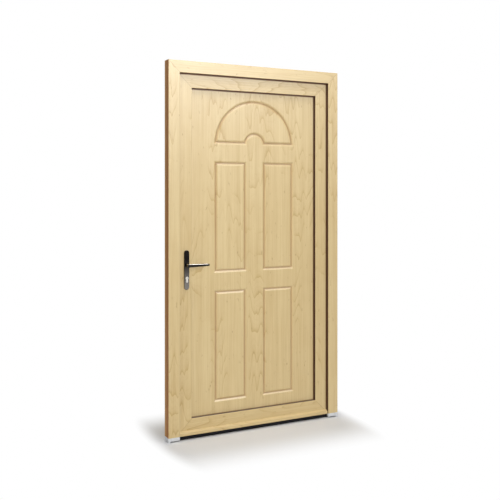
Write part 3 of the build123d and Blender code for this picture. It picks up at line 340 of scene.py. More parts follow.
class MapleFigure(Effect):
    """Maple figure along Z: nested peaks, fine streaks, broad bands and short flecks."""

    NAME = "maple_figure"
    INPUTS = {"Vector": VECTOR, "Light": COLOUR, "Dark": COLOUR, "Fleck": COLOUR}
    OUTPUTS = {"Color": COLOUR, "Height": FLOAT, "Gloss": FLOAT}

    PEAKS_TO_THE_METRE = 7.0
    LEAN, DRIFT, WOBBLE = 5.5, 3.0, 0.22
    PRESENT = Cloud((9.0, 9.0, 1.4), 0.46, 0.62, 1.0)
    STREAKS = Cloud((230.0, 230.0, 2.6), 0.32, 0.70, 3.0, 0.62)
    BANDS = Cloud((22.0, 22.0, 0.5), 0.32, 0.68)
    CLOUDS = Cloud((9.0, 9.0, 6.0), 0.3, 0.7)
    SPOTS = Cloud((150.0, 150.0, 34.0), 0.66, 0.76, 1.0)
    PEAK_SHARE, FINE_SHARE, FLECK_SHARE = 0.62, 0.14, 0.6
    LAYERS = ((STREAKS, 0.32), (BANDS, 0.20), (CLOUDS, 0.12))

    @classmethod
    def draw(cls, sheet: NodeSheet, given: Sockets) -> dict[str, Socket]:
        """Lays out the figure.

        Args:
            sheet: the group's sheet.
            given: the group's inputs.

        Returns:
            The colour, the height of the embossing and the gloss.
        """
        place = given["Vector"]
        _, _, z = sheet.parts(place)
        lean = sheet.minus(sheet.noise(place, (15.0, 15.0, 1.1), 1.0), 0.5)
        lean = sheet.math("SQRT", sheet.plus(sheet.times(lean, lean), 0.0004))
        drift = sheet.times(sheet.noise(place, (7.0, 7.0, 2.4)), cls.DRIFT)
        wobble = sheet.times(sheet.noise(place, (38.0, 38.0, 14.0)), cls.WOBBLE)
        rise = sheet.plus(sheet.plus(sheet.times(z, cls.PEAKS_TO_THE_METRE), drift), wobble)
        rise = sheet.minus(rise, sheet.times(lean, cls.LEAN))
        step = sheet.minus(1.0, sheet.math("FRACT", rise))
        late = sheet.times(sheet.math("POWER", step, 6.0), sheet.fade(step, 1.0, 0.985))
        present = cls.PRESENT.lay(sheet, place)
        peaks = sheet.times(late, present)
        fine = sheet.minus(1.0, sheet.math("FRACT", sheet.times(rise, 3.0)))
        fine = sheet.times(sheet.math("POWER", fine, 4.0), cls.FINE_SHARE)
        depth = sheet.plus(sheet.times(peaks, cls.PEAK_SHARE), sheet.times(fine, present))
        for layer, share in cls.LAYERS:
            depth = sheet.plus(depth, sheet.times(layer.lay(sheet, place), share))
        colour = sheet.blend(depth, given["Light"], given["Dark"])
        flecks = sheet.times(cls.SPOTS.lay(sheet, place), sheet.fade(late, 0.05, 0.5))
        colour = sheet.blend(sheet.times(flecks, cls.FLECK_SHARE), colour, given["Fleck"])
        pores = sheet.noise(place, (1500.0, 1500.0, 70.0), 1.0)
        height = sheet.plus(sheet.times(pores, 0.6), peaks)
        gloss = sheet.plus(sheet.times(pores, 0.10), 0.38)
        return {"Color": colour, "Height": height, "Gloss": gloss}


class RimMasks(Effect):
    """Masks that follow a mitred rim: its welds, the painted shade on its lip's inner side and the
    painted shadow behind.
    """

    NAME = "rim_masks"
    INPUTS = {"Vector": VECTOR, "Half Width": FLOAT, "Top": FLOAT, "Bottom": FLOAT, "Front": FLOAT}
    OUTPUTS = {"Weld": FLOAT, "Reveal": FLOAT, "Shade": FLOAT}
    WELD = (0.0022, 0.0006)
    NEAR, FAR, EDGE = (0.0006, 0.0030), (0.0220, 0.0200), (-0.0008, -0.0003)
    BESIDE, ABOVE, BELOW = (0.0095, 0.0030), (0.0105, 0.0050), (0.0060, 0.0020)
    TO_HINGES = (-0.1, 0.1)
    BELOW_SHARE = 0.7

    @classmethod
    def draw(cls, sheet: NodeSheet, given: Sockets) -> dict[str, Socket]:
        """Lays out the masks.

        Args:
            sheet: the group's sheet.
            given: the group's inputs.

        Returns:
            The line where the profiles are welded, the lip's inner side in deep shade, and the
            shade that the lip throws above, below and on the hinge side.
        """
        x, y, z = sheet.parts(given["Vector"])
        side = sheet.minus(given["Half Width"], sheet.size(x))
        top, bottom = sheet.minus(given["Top"], z), sheet.minus(z, given["Bottom"])
        corners = [sheet.size(sheet.minus(side, end)) for end in (top, bottom)]
        weld = sheet.fade(sheet.math("MINIMUM", *corners), *cls.WELD)
        sunk = sheet.minus(y, given["Front"])
        # painted shade on the lip's inner side, which lies deep in shade
        reveal_shade = sheet.times(sheet.fade(sunk, *cls.NEAR), sheet.fade(sunk, *cls.FAR))
        for margin in (side, top, bottom):
            reveal_shade = sheet.times(reveal_shade, sheet.fade(margin, *cls.EDGE))
        beside = sheet.times(sheet.fade(side, *cls.BESIDE), sheet.fade(x, *cls.TO_HINGES))
        below = sheet.times(sheet.fade(bottom, *cls.BELOW), cls.BELOW_SHARE)
        shade = sheet.most(sheet.fade(top, *cls.ABOVE), sheet.most(beside, below))
        return {"Weld": weld, "Reveal": reveal_shade, "Shade": shade}


class Handling(Effect):
    """Smudges and hair scratches on metal, and the mottle of moulded plastic."""

    NAME = "handling_marks"
    INPUTS = {"Vector": VECTOR, "Scale": FLOAT}
    OUTPUTS = {"Smudge": FLOAT, "Scratch": FLOAT, "Mottle": FLOAT}
    SMUDGE = Cloud((35.0, 35.0, 22.0), 0.42, 0.68, 3.0, 0.6)
    SCRATCH = Cloud((900.0, 700.0, 16.0), 0.58, 0.74)

    @classmethod
    def draw(cls, sheet: NodeSheet, given: Sockets) -> dict[str, Socket]:
        """Lays out the marks.

        Args:
            sheet: the group's sheet.
            given: the group's inputs.

        Returns:
            Masks for smudges, scratches and mottle.
        """
        place = sheet.vector("MULTIPLY", given["Vector"], given["Scale"])
        return {
            "Smudge": cls.SMUDGE.lay(sheet, place),
            "Scratch": cls.SCRATCH.lay(sheet, place),
            "Mottle": sheet.noise(place, (420.0, 420.0, 420.0), 3.0, 0.62),
        }


@dataclass(frozen=True)
class Finish:
    """What every finish has: a name, and a way to make its material."""

    name: str

    def material(self) -> bpy.types.Material:
        """The finish's material, built on first use."""
        found = bpy.data.materials.get(self.name)
        if found:
            return found
        made = bpy.data.materials.new(self.name)
        self.dress(SurfaceSheet.blank(made))
        return made

    def dress(self, sheet: SurfaceSheet) -> None:
        """Feeds the sheet's shader; each finish has its own."""
        raise NotImplementedError


@dataclass(frozen=True)
class Rim:
    """A mitred rim seen from outside, and the depth of its front edge."""

    half_width: float
    top: float
    bottom: float
    front: float = 0.0

    def masks(self, sheet: SurfaceSheet) -> Sockets:
        """The masks that follow this rim."""
        sizes = {"Half_Width": self.half_width, "Top": self.top, "Bottom": self.bottom}
        return RimMasks.place(sheet, Vector=sheet.place, Front=self.front, **sizes)


@dataclass(frozen=True)
class MapleFoil(Finish):
    """Embossed maple foil on a plastic profile, brown where the profile is bare."""

    grain: Grain = Grain.UPRIGHT
    shift: Point = (0.0, 0.0, 0.0)
    corners: Rim | None = None
    lip: Rim | None = None
    bare_from: float | None = None
    groove: Span | None = None
    behind: Rim | None = None
    light: Colour = tone(227, 203, 149)
    dark: Colour = tone(197, 164, 101)
    fleck: Colour = tone(166, 124, 66)
    weld: Colour = tone(150, 112, 66)
    # painted shade for the lip's inner side
    reveal_shade: Colour = tone(66, 32, 6)
    groove_shade: Colour = tone(150, 96, 42)
    lip_shade: Colour = tone(90, 42, 4)
    bare_front: Colour = tone(172, 110, 42)
    bare_rear: Colour = tone(198, 142, 72)
    emboss: float = 0.00006
    weld_depth: float = 0.0005

    def dress(self, sheet: SurfaceSheet) -> None:
        """Feeds the shader with the figure, the welds and the shaded lips.

        Args:
            sheet: the material's sheet.
        """
        x, y, z = sheet.parts(sheet.place)
        along = (x, y, z) if self.grain is Grain.UPRIGHT else (z, y, x)
        turned = sheet.add("CombineXYZ", X=along[0], Y=along[1], Z=along[2]).outputs[0]
        moved = sheet.vector("ADD", turned, self.shift)
        figure = MapleFigure.place(
            sheet, Vector=moved, Light=self.light, Dark=self.dark, Fleck=self.fleck
        )
        colour = figure["Color"]
        height = sheet.times(figure["Height"], self.emboss)
        if self.corners:
            seam = self.corners.masks(sheet)["Weld"]
            colour = sheet.blend(sheet.times(seam, 0.45), colour, self.weld)
            height = sheet.minus(height, sheet.times(seam, self.weld_depth))
        if self.lip:
            # painted shade on the lip's inner side
            colour = sheet.blend(self.lip.masks(sheet)["Reveal"], colour, self.reveal_shade)
        if self.groove:
            sunk = sheet.times(sheet.fade(y, *self.groove), 0.55)
            colour = sheet.blend(sunk, colour, self.groove_shade)
        if self.behind:
            shade = sheet.times(self.behind.masks(sheet)["Shade"], 0.95)
            colour = sheet.blend(shade, colour, self.lip_shade)
        coat: object = 1.0
        if self.bare_from is not None:
            bare = sheet.fade(sheet.size(x), self.bare_from - 0.0004, self.bare_from)
            brown = sheet.blend(sheet.fade(y, 0.002, 0.004), self.bare_front, self.bare_rear)
            colour = sheet.blend(bare, colour, brown)
            coat = sheet.minus(1.0, bare)
        sheet.fill(sheet.shader, Coat_Weight=coat, Coat_Roughness=0.42, Coat_IOR=1.7)
        sheet.fill(sheet.shader, Specular_IOR_Level=0.1)
        sheet.surface(colour, figure["Gloss"], height, 0.8)


@dataclass(frozen=True)
class Metal(Finish):
    """Plated or painted metal with smudges and hair scratches."""

    colour: Colour
    marks: Colour
    metallic: float
    roughness: float
    spread: float = 0.15
    scratch: float = 0.00001

    def dress(self, sheet: SurfaceSheet) -> None:
        """Feeds the shader with the plating and its marks.

        Args:
            sheet: the material's sheet.
        """
        marks = Handling.place(sheet, Vector=sheet.place, Scale=1.0)
        sheet.fill(sheet.shader, Metallic=self.metallic)
        colour = sheet.blend(marks["Smudge"], self.colour, self.marks)
        rough = sheet.times(marks["Smudge"], self.spread)
        rough = sheet.plus(rough, sheet.times(marks["Scratch"], self.spread / 2))
        height = sheet.times(marks["Scratch"], self.scratch)
        sheet.surface(colour, sheet.plus(rough, self.roughness), height, 0.6)


@dataclass(frozen=True)
class PaintedReflectionChrome(Finish):
    """Dark polished plating; its reflection, lighter at the plate's foot, and a lever highlight
    are painted.
    """

    # painted reflection: dark at the plate's top, paler towards its foot
    deep: Colour = tone(30, 28, 27)
    pale: Colour = tone(128, 124, 119)
    # painted highlight on the lever's top edge
    painted_highlight: Colour = tone(172, 169, 164)
    smudged: Colour = tone(96, 92, 88)
    reflection_fade: Span = (0.985, 0.850)
    highlight_band: Span = (0.9715, 0.9750)
    grip: Span = (0.052, 0.056)
    middle: float = 0.021

    def dress(self, sheet: SurfaceSheet) -> None:
        """Feeds the shader with the plating, the painted reflection and highlight, and finger
        marks.

        Args:
            sheet: the material's sheet.
        """
        marks = Handling.place(sheet, Vector=sheet.place, Scale=1.6)
        _, y, z = sheet.parts(sheet.place)
        # painted reflection: darker at the top, paler towards the plate's foot
        colour = sheet.blend(sheet.fade(z, *self.reflection_fade), self.deep, self.pale)
        # painted highlight along the lever's top edge, kept to the lever's depth
        reach = sheet.size(sheet.minus(y, self.middle))
        upper = sheet.times(sheet.fade(z, *self.highlight_band), sheet.fade(reach, *self.grip))
        colour = sheet.blend(upper, colour, self.painted_highlight)
        colour = sheet.blend(sheet.times(marks["Smudge"], 0.12), colour, self.smudged)
        sheet.fill(sheet.shader, Metallic=1.0)
        rough = sheet.plus(sheet.times(marks["Smudge"], 0.10), 0.13)
        sheet.surface(colour, rough, sheet.times(marks["Scratch"], 0.000006), 0.5)


@dataclass(frozen=True)
class Moulding(Finish):
    """Moulded plastic, rubber or foam with a fine mottle and patches of dust."""

    colour: Colour
    worn: Colour
    roughness: float
    grit: float
    scale: float = 1.0

    def dress(self, sheet: SurfaceSheet) -> None:
        """Feeds the shader with the moulded surface.

        Args:
            sheet: the material's sheet.
        """
        marks = Handling.place(sheet, Vector=sheet.place, Scale=self.scale)
        worn = sheet.times(marks["Smudge"], sheet.fade(marks["Mottle"], 0.35, 0.7))
        rough = sheet.times(sheet.minus(marks["Mottle"], 0.5), 0.3)
        sheet.surface(
            sheet.blend(worn, self.colour, self.worn),
            sheet.plus(rough, self.roughness),
            sheet.times(marks["Mottle"], self.grit),
            0.7,
        )


@dataclass(frozen=True)
class Ribbed(Finish):
    """A black threshold rail with fine ribs along its length."""

    colour: Colour = tone(14, 14, 15)
    dust: Colour = tone(58, 56, 53)
    pitch: float = 0.0022
    top: Span = (0.0185, 0.0198)
    height: float = 0.0004

    def dress(self, sheet: SurfaceSheet) -> None:
        """Feeds the shader with the ribs and the dust between them.

        Args:
            sheet: the material's sheet.
        """
        marks = Handling.place(sheet, Vector=sheet.place, Scale=1.0)
        _, y, z = sheet.parts(sheet.place)
        wave = sheet.math("SINE", sheet.times(y, 2 * math.pi / self.pitch))
        top = sheet.fade(z, *self.top)
        ribs = sheet.times(sheet.plus(sheet.times(wave, 0.5), 0.5), top)
        low = sheet.times(sheet.minus(top, ribs), marks["Smudge"])
        colour = sheet.blend(sheet.times(low, 0.5), self.colour, self.dust)
        rough = sheet.plus(sheet.times(marks["Smudge"], 0.15), 0.42)
        sheet.surface(colour, rough, sheet.times(ribs, self.height), 0.8)


FRAME_CORNERS = Rim(half_width=0.550, top=2.100, bottom=-5.0)
LEAF_CORNERS = Rim(half_width=0.492, top=2.042, bottom=0.024)
FRAME_LIP = Rim(half_width=0.483, top=2.033, bottom=-1.0, front=-0.030)
LEAF_LIP = Rim(half_width=0.404, top=1.954, bottom=0.112, front=-0.009)
FRAME_RIMS = (FRAME_CORNERS, FRAME_LIP)
LEAF_RIMS = (LEAF_CORNERS, LEAF_LIP)


class Finishes:
    """Every finish of the door, by the name of what wears it."""

    frame_upright = MapleFoil(
        "foil_frame_upright", Grain.UPRIGHT, (3.1, 0.2, 1.7), *FRAME_RIMS, bare_from=0.5496
    )
    frame_level = MapleFoil("foil_frame_level", Grain.LEVEL, (5.3, 1.2, 4.1), *FRAME_RIMS)
    leaf_upright = MapleFoil(
        "foil_leaf_upright", Grain.UPRIGHT, (7.7, 2.9, 6.3), *LEAF_RIMS, behind=FRAME_LIP
    )
    leaf_level = MapleFoil(
        "foil_leaf_level", Grain.LEVEL, (9.2, 0.7, 8.8), *LEAF_RIMS, behind=FRAME_LIP
    )
    bead_upright = MapleFoil("foil_bead_upright", Grain.UPRIGHT, (1.4, 4.4, 2.6), LEAF_CORNERS)
    bead_level = MapleFoil("foil_bead_level", Grain.LEVEL, (2.8, 6.1, 3.9), LEAF_CORNERS)
    weather_bar = MapleFoil("foil_weather_bar", Grain.LEVEL, (4.4, 8.0, 1.9))
    panel = MapleFoil(
        "foil_panel", Grain.UPRIGHT, (0.35, 5.5, 0.6), groove=(0.0120, 0.0154), behind=LEAF_LIP
    )
    inner_panel = MapleFoil("foil_inner_panel", Grain.UPRIGHT, (2.35, 3.5, 2.6))
    galvanised = Metal(
        "galvanised_steel", tone(168, 172, 174), tone(136, 140, 143), 1.0, 0.38, 0.22
    )
    lock_steel = Metal("lock_steel", tone(186, 188, 190), tone(150, 152, 155), 1.0, 0.28, 0.18)
    handle = PaintedReflectionChrome("dark_chrome")
    nickel = Metal("cylinder_nickel", tone(92, 89, 86), tone(80, 77, 74), 1.0, 0.11, 0.15)
    hinge = Metal("hinge_paint", tone(92, 66, 42), tone(78, 55, 34), 0.0, 0.42, 0.15, 0.00002)
    seal = Moulding("rubber_seal", tone(22, 21, 20), tone(48, 46, 43), 0.62, 0.00004)
    brown_seal = Moulding("brown_seal", tone(62, 30, 8), tone(78, 44, 16), 0.62, 0.00004)
    end_block = Moulding(
        "end_block_plastic", tone(226, 228, 230), tone(204, 205, 206), 0.46, 0.00002
    )
    packer = Moulding("packer_plastic", tone(70, 92, 128), tone(96, 112, 140), 0.5, 0.00002)
    foam = Moulding("foam_core", tone(222, 214, 190), tone(204, 194, 166), 0.85, 0.0003, 0.6)
    threshold = Ribbed("threshold_black")

    worn: tuple[tuple[Finish, str], ...] = (
        (frame_upright, "frame_jamb_lock frame_jamb_hinge"),
        (frame_level, "frame_head"),
        (leaf_upright, "stile_lock stile_hinge"),
        (leaf_level, "rail_top rail_bottom"),
        (bead_upright, "bead_lock bead_hinge"),
        (bead_level, "bead_top bead_bottom"),
        (weather_bar, "weather_bar"),
        (panel, "panel_outer_skin"),
        (inner_panel, "panel_inner_skin"),
        (foam, "panel_core"),
        (packer, "panel_packers"),
        (end_block, "end_block_lock end_block_hinge"),
        (threshold, "threshold"),
        (galvanised, "jamb_steel_lock jamb_steel_hinge head_steel stile_steel_lock"),
        (galvanised, "stile_steel_hinge rail_steel_top rail_steel_bottom"),
        (galvanised, "frame_screws leaf_screws"),
        (lock_steel, "lock_faceplate lock_case hook_case_lower hook_case_upper"),
        (lock_steel, "main_keep hook_keep_lower hook_keep_upper latch_bolt deadbolt"),
        (lock_steel, "hook_lower hook_upper lock_follower spindle hinge_pins"),
        (handle, "plate_outer plate_inner lever_outer lever_inner plate_screws"),
        (nickel, "cylinder_body cylinder_plug"),
        (brown_seal, "frame_seal leaf_seal panel_seal_outer panel_seal_inner"),
        (seal, "bottom_seal"),
        (hinge, "hinge_lower_frame hinge_middle_frame hinge_upper_frame"),
        (hinge, "hinge_lower_leaf hinge_middle_leaf hinge_upper_leaf"),
    )

    @classmethod
    def by_node(cls) -> dict[str, Finish]:
        """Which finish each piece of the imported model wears, by the piece's name."""
        return {name: finish for finish, names in cls.worn for name in names.split()}


def dress(piece: Piece, finish: Finish) -> None:
    """Gives a piece one finish all over.

    Args:
        piece: the object.
        finish: what it wears.
    """
    material = finish.material()
    if not piece.material_slots:
        piece.data.materials.append(material)
    for held in piece.material_slots:
        held.material = material


class Element(Enum):
    """What is picked of a mesh."""

    FACE = "faces"
    EDGE = "edges"
    VERT = "verts"


class Bench:
    """Modelling steps that more than one piece needs, as done by hand in edit mode."""

    @staticmethod
    def clear() -> None:
        """Leaves edit mode and lets go of everything."""
        if bpy.context.object and bpy.context.object.mode != "OBJECT":
            bpy.ops.object.mode_set(mode="OBJECT")
        bpy.ops.object.select_all(action="DESELECT")

    @staticmethod
    def hold(piece: Piece) -> None:
        """Selects one object and makes it the active one."""
        Bench.clear()
        piece.select_set(True)
        bpy.context.view_layer.objects.active = piece

    @staticmethod
    def edit(piece: Piece) -> None:
        """Opens one object in edit mode."""
        Bench.hold(piece)
        bpy.ops.object.mode_set(mode="EDIT")

    @staticmethod
    def join(first: Piece, second: Piece) -> None:
        """Takes the second object into the first."""
        Bench.hold(first)
        second.select_set(True)
        bpy.ops.object.join()

    @staticmethod
    def settle(piece: Piece) -> None:
        """Puts an object's place, turn and scale into its mesh."""
        Bench.hold(piece)
        bpy.ops.object.transform_apply(location=True, rotation=True, scale=True)

    @staticmethod
    def plate(name: str, x: Span, z: Span, y: float) -> Piece:
        """A flat upright sheet that faces outside.

        Args:
            name: the object's name.
            x: its left and right edges.
            z: its bottom and top edges.
            y: its depth.

        Returns:
            The new object, at the origin.
        """
        Bench.clear()
        bpy.ops.mesh.primitive_plane_add(
            size=1.0,
            location=((x[0] + x[1]) / 2, y, (z[0] + z[1]) / 2),
            rotation=(math.pi / 2, 0.0, 0.0),
        )
        piece = bpy.context.object
        piece.name = name
        piece.scale = (x[1] - x[0], z[1] - z[0], 1.0)
        Bench.settle(piece)
        return piece

    @staticmethod
    def pick(piece: Piece, kind: Element, test: Callable[..., bool]) -> int:
        """Selects faces, edges or corners of the mesh in edit mode.

        Args:
            piece: the object in edit mode.
            kind: what is picked.
            test: which of them.

        Returns:
            How many were selected.
        """
        bpy.ops.mesh.select_mode(type=kind.name)
        bpy.ops.mesh.select_all(action="DESELECT")
        mesh = bmesh.from_edit_mesh(piece.data)
        chosen = [item for item in getattr(mesh, kind.value) if test(item)]
        for item in chosen:
            item.select_set(True)
        mesh.select_flush_mode()
        bmesh.update_edit_mesh(piece.data)
        return len(chosen)

    @staticmethod
    def modify(piece: Piece, kind: str, **settings: object) -> None:
        """Adds a modifier and applies it.

        Args:
            piece: the object.
            kind: the modifier's type.
            **settings: its settings.
        """
        Bench.hold(piece)
        bpy.ops.object.modifier_add(type=kind)
        made = piece.modifiers[-1]
        for name, value in settings.items():
            setattr(made, name, value)
        bpy.ops.object.modifier_apply(modifier=made.name)

    @staticmethod
    def outwards(piece: Piece) -> None:
        """Merges doubles and turns every face outwards."""
        Bench.edit(piece)
        bpy.ops.mesh.select_all(action="SELECT")
        bpy.ops.mesh.remove_doubles(threshold=0.00001)
        bpy.ops.mesh.normals_make_consistent(inside=False)
        Bench.clear()


@dataclass
class PanelFace:
    """The outer skin of the panel with its moulded pattern: four fields and a fan."""

    half_width: float = 0.416
    bottom: float = 0.100
    top: float = 1.966
    front: float = 0.010
    thickness: float = 0.008
    field_inner: float = 0.052
    field_outer: float = 0.2595
    lower_field: Span = (0.180, 0.815)
    upper_field: Span = (0.914, 1.549)
    fan_base: float = 1.646
    slope: float = 0.0105
    floor: float = 0.002
    depth: float = 0.0055
    margin: float = 0.024
    soften: float = 0.0011
    outer_steps: int = 96
    neck_steps: int = 48
    seam: float = 0.00002
    near: float = 0.0006

    @property
    def room(self) -> float:
        """Half the width of the fan's room, and its height."""
        return self.field_outer + self.margin

    @property
    def groove(self) -> tuple[Span, ...]:
        """How wide and how deep each face of the groove goes, from its rim inwards."""
        return ((self.slope, self.depth), (self.floor, 0.0), (self.slope, -self.depth))

    def build(self) -> Piece:
        """Models the skin.

        Returns:
            The finished object.
        """
        across = (-self.half_width, self.half_width)
        skin = Bench.plate("panel_face", across, (self.bottom, self.top), self.front)
        Bench.edit(skin)
        self._rule_lines()
        for z in (self.lower_field, self.upper_field):
            for side in (-1, 1):
                ends = sorted((side * self.field_inner, side * self.field_outer))
                self._pick_box(skin, (ends[0], ends[1]), z)
                self._sink_groove()
        self._pick_box(skin, (-self.room, self.room), (self.fan_base, self.fan_base + self.room))
        bpy.ops.mesh.delete(type="FACE")
        Bench.join(skin, self._fan())
        self._close_round_fan(skin)
        self._thicken(skin)
        Bench.outwards(skin)
        soft = {"width": self.soften, "segments": 3, "limit_method": "ANGLE"}
        Bench.modify(skin, "BEVEL", angle_limit=math.radians(12.0), **soft)
        Bench.hold(skin)
        bpy.ops.object.shade_smooth_by_angle(angle=math.radians(40.0))
        Bench.modify(skin, "WEIGHTED_NORMAL", keep_sharp=True, weight=80)
        return skin

    def _rule_lines(self) -> None:
        """Cuts the sheet along the edges of the fields and of the fan's room."""
        uprights = (self.field_inner, self.field_outer, self.room)
        fan = (self.fan_base, self.fan_base + self.room)
        cuts = [((side * x, 0.0, 0.0), (1.0, 0.0, 0.0)) for x in uprights for side in (-1, 1)]
        levels = (*self.lower_field, *self.upper_field, *fan)
        cuts += [((0.0, 0.0, z), (0.0, 0.0, 1.0)) for z in levels]
        for place, facing in cuts:
            bpy.ops.mesh.select_all(action="SELECT")
            bpy.ops.mesh.bisect(plane_co=place, plane_no=facing)

    def _pick_box(self, skin: Piece, x: Span, z: Span) -> None:
        """Picks the faces whose middle lies in an upright rectangle.

        Args:
            skin: the sheet, in edit mode.
            x: the rectangle's left and right edges.
            z: its bottom and top edges.
        """

        def within(face: Face) -> bool:
            """Whether a face's middle lies in the rectangle."""
            middle = face.calc_center_median()
            return x[0] < middle.x < x[1] and z[0] < middle.z < z[1]

        Bench.pick(skin, Element.FACE, within)

    def _sink_groove(self) -> None:
        """Insets the picked faces and sinks a groove along their rim."""
        for width, sink in self.groove:
            bpy.ops.mesh.inset(thickness=width, use_even_offset=True)
            bpy.ops.transform.translate(value=(0.0, sink, 0.0))

    def _arc(self, radius: float, rise: float, depth: float, steps: int) -> Piece:
        """One arc of a contour, swept from right to left by spinning a corner.

        Args:
            radius: the arc's radius about the middle of the springing line.
            rise: how far its ends lie above the springing line.
            depth: how far it lies behind the face.
            steps: its number of pieces.

        Returns:
            The arc as an object of edges.
        """
        start = math.asin(rise / radius)
        y = self.front + depth
        arc = Bench.plate("fan_arc", (-0.01, 0.01), (-0.01, 0.01), 0.0)
        Bench.edit(arc)
        bpy.ops.mesh.select_all(action="SELECT")
        bpy.ops.mesh.merge(type="CENTER")
        bpy.ops.mesh.select_all(action="SELECT")
        bpy.ops.transform.translate(
            value=(radius * math.cos(start), y, self.fan_base + radius * math.sin(start))
        )
        bpy.ops.mesh.select_all(action="SELECT")
        bpy.ops.mesh.spin(
            steps=steps,
            angle=math.pi - 2 * start,
            center=(0.0, y, self.fan_base),
            axis=(0.0, 1.0, 0.0),
        )
        Bench.clear()
        return arc

    def _fan(self) -> Piece:
        """The fan's groove and island: four contours, joined by faces.

        Returns:
            The fan as an object.
        """
        contours = []
        inset = depth = 0.0
        for width, sink in ((0.0, 0.0), *self.groove):
            inset, depth = inset + width, depth + sink
            outer = self._arc(self.field_outer - inset, inset, depth, self.outer_steps)
            neck = self._arc(self.field_inner + inset, inset, depth, self.neck_steps)
            Bench.join(outer, neck)
            Bench.edit(outer)
            base = self.fan_base + inset
            for side in (-1, 1):
                Bench.pick(
                    outer,
                    Element.VERT,
                    lambda v: side * v.co.x > 0
                    and abs(v.co.z - base) < self.seam / 2
                    and len(v.link_edges) < 2,
                )
                bpy.ops.mesh.edge_face_add()
            contours.append(outer)
        fan = contours[0]
        for inner in contours[1:]:
            Bench.join(fan, inner)
            Bench.edit(fan)
            Bench.pick(fan, Element.EDGE, lambda e: not e.link_faces or self._is_rim(e))
            bpy.ops.mesh.bridge_edge_loops()
        Bench.clear()
        return fan

    def _polar(self, edge: Edge) -> Span:
        """An edge's distance from the fan's middle, and its rise over the fan's base."""
        middle = (edge.verts[0].co + edge.verts[1].co) / 2
        rise = middle.z - self.fan_base
        return math.hypot(middle.x, rise), rise

    def _is_rim(self, edge: Edge) -> bool:
        """Whether an edge is on the fan's newest contour, with a face on one side only.

        Args:
            edge: an edge of the fan.

        Returns:
            True where the next contour is joined on.
        """
        radius, rise = self._polar(edge)
        on_arc = min(abs(radius - self.field_outer), abs(radius - self.field_inner)) < self.near
        return len(edge.link_faces) == 1 and not on_arc and abs(rise) >= self.near / 6

    def _is_open(self, edge: Edge) -> bool:
        """Whether an edge has one face and lies in the fan's room.

        Args:
            edge: an edge of the skin.

        Returns:
            True where a gap is still to be filled.
        """
        across = abs(edge.verts[0].co.x + edge.verts[1].co.x) / 2
        reach = self.room + self.near
        inside = across < reach and -self.near < self._polar(edge)[1] < reach
        return inside and len(edge.link_faces) == 1

    def _close_round_fan(self, skin: Piece) -> None:
        """Fills the neck, the fan's island and the surround.

        Args:
            skin: the sheet and the fan, joined.
        """
        Bench.edit(skin)
        bpy.ops.mesh.select_all(action="SELECT")
        bpy.ops.mesh.remove_doubles(threshold=self.seam)
        neck = self.field_inner + 2 * self.near
        arch = self.field_outer - self.slope
        base = 2 * self.slope + self.floor - self.near
        gaps: dict[str, Callable[[float, float], bool]] = {
            "neck": lambda radius, rise: radius < neck,
            "island": lambda radius, rise: radius < arch and rise > base,
            "surround": lambda radius, rise: True,
        }
        for name, bounds in gaps.items():
            count = Bench.pick(
                skin, Element.EDGE, lambda e: self._is_open(e) and bounds(*self._polar(e))
            )
            bpy.ops.mesh.edge_face_add()
            log.info("panel_face: closed the %s, %d edges", name, count)
        Bench.clear()

    def _thicken(self, skin: Piece) -> None:
        """Draws the sheet's rim back and closes it behind.

        Args:
            skin: the moulded sheet.
        """
        Bench.edit(skin)
        Bench.pick(skin, Element.EDGE, lambda e: len(e.link_faces) == 1)
        bpy.ops.mesh.extrude_edges_move(
            TRANSFORM_OT_translate={"value": (0.0, self.thickness, 0.0)}
        )
        bpy.ops.mesh.edge_face_add()
        Bench.clear()

    def dress(self, skin: Piece) -> None:
        """Hangs the skin on the leaf and gives it its foil."""
        dress(skin, Finishes.panel)
        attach(skin, "leaf")
        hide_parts("panel_outer_skin")


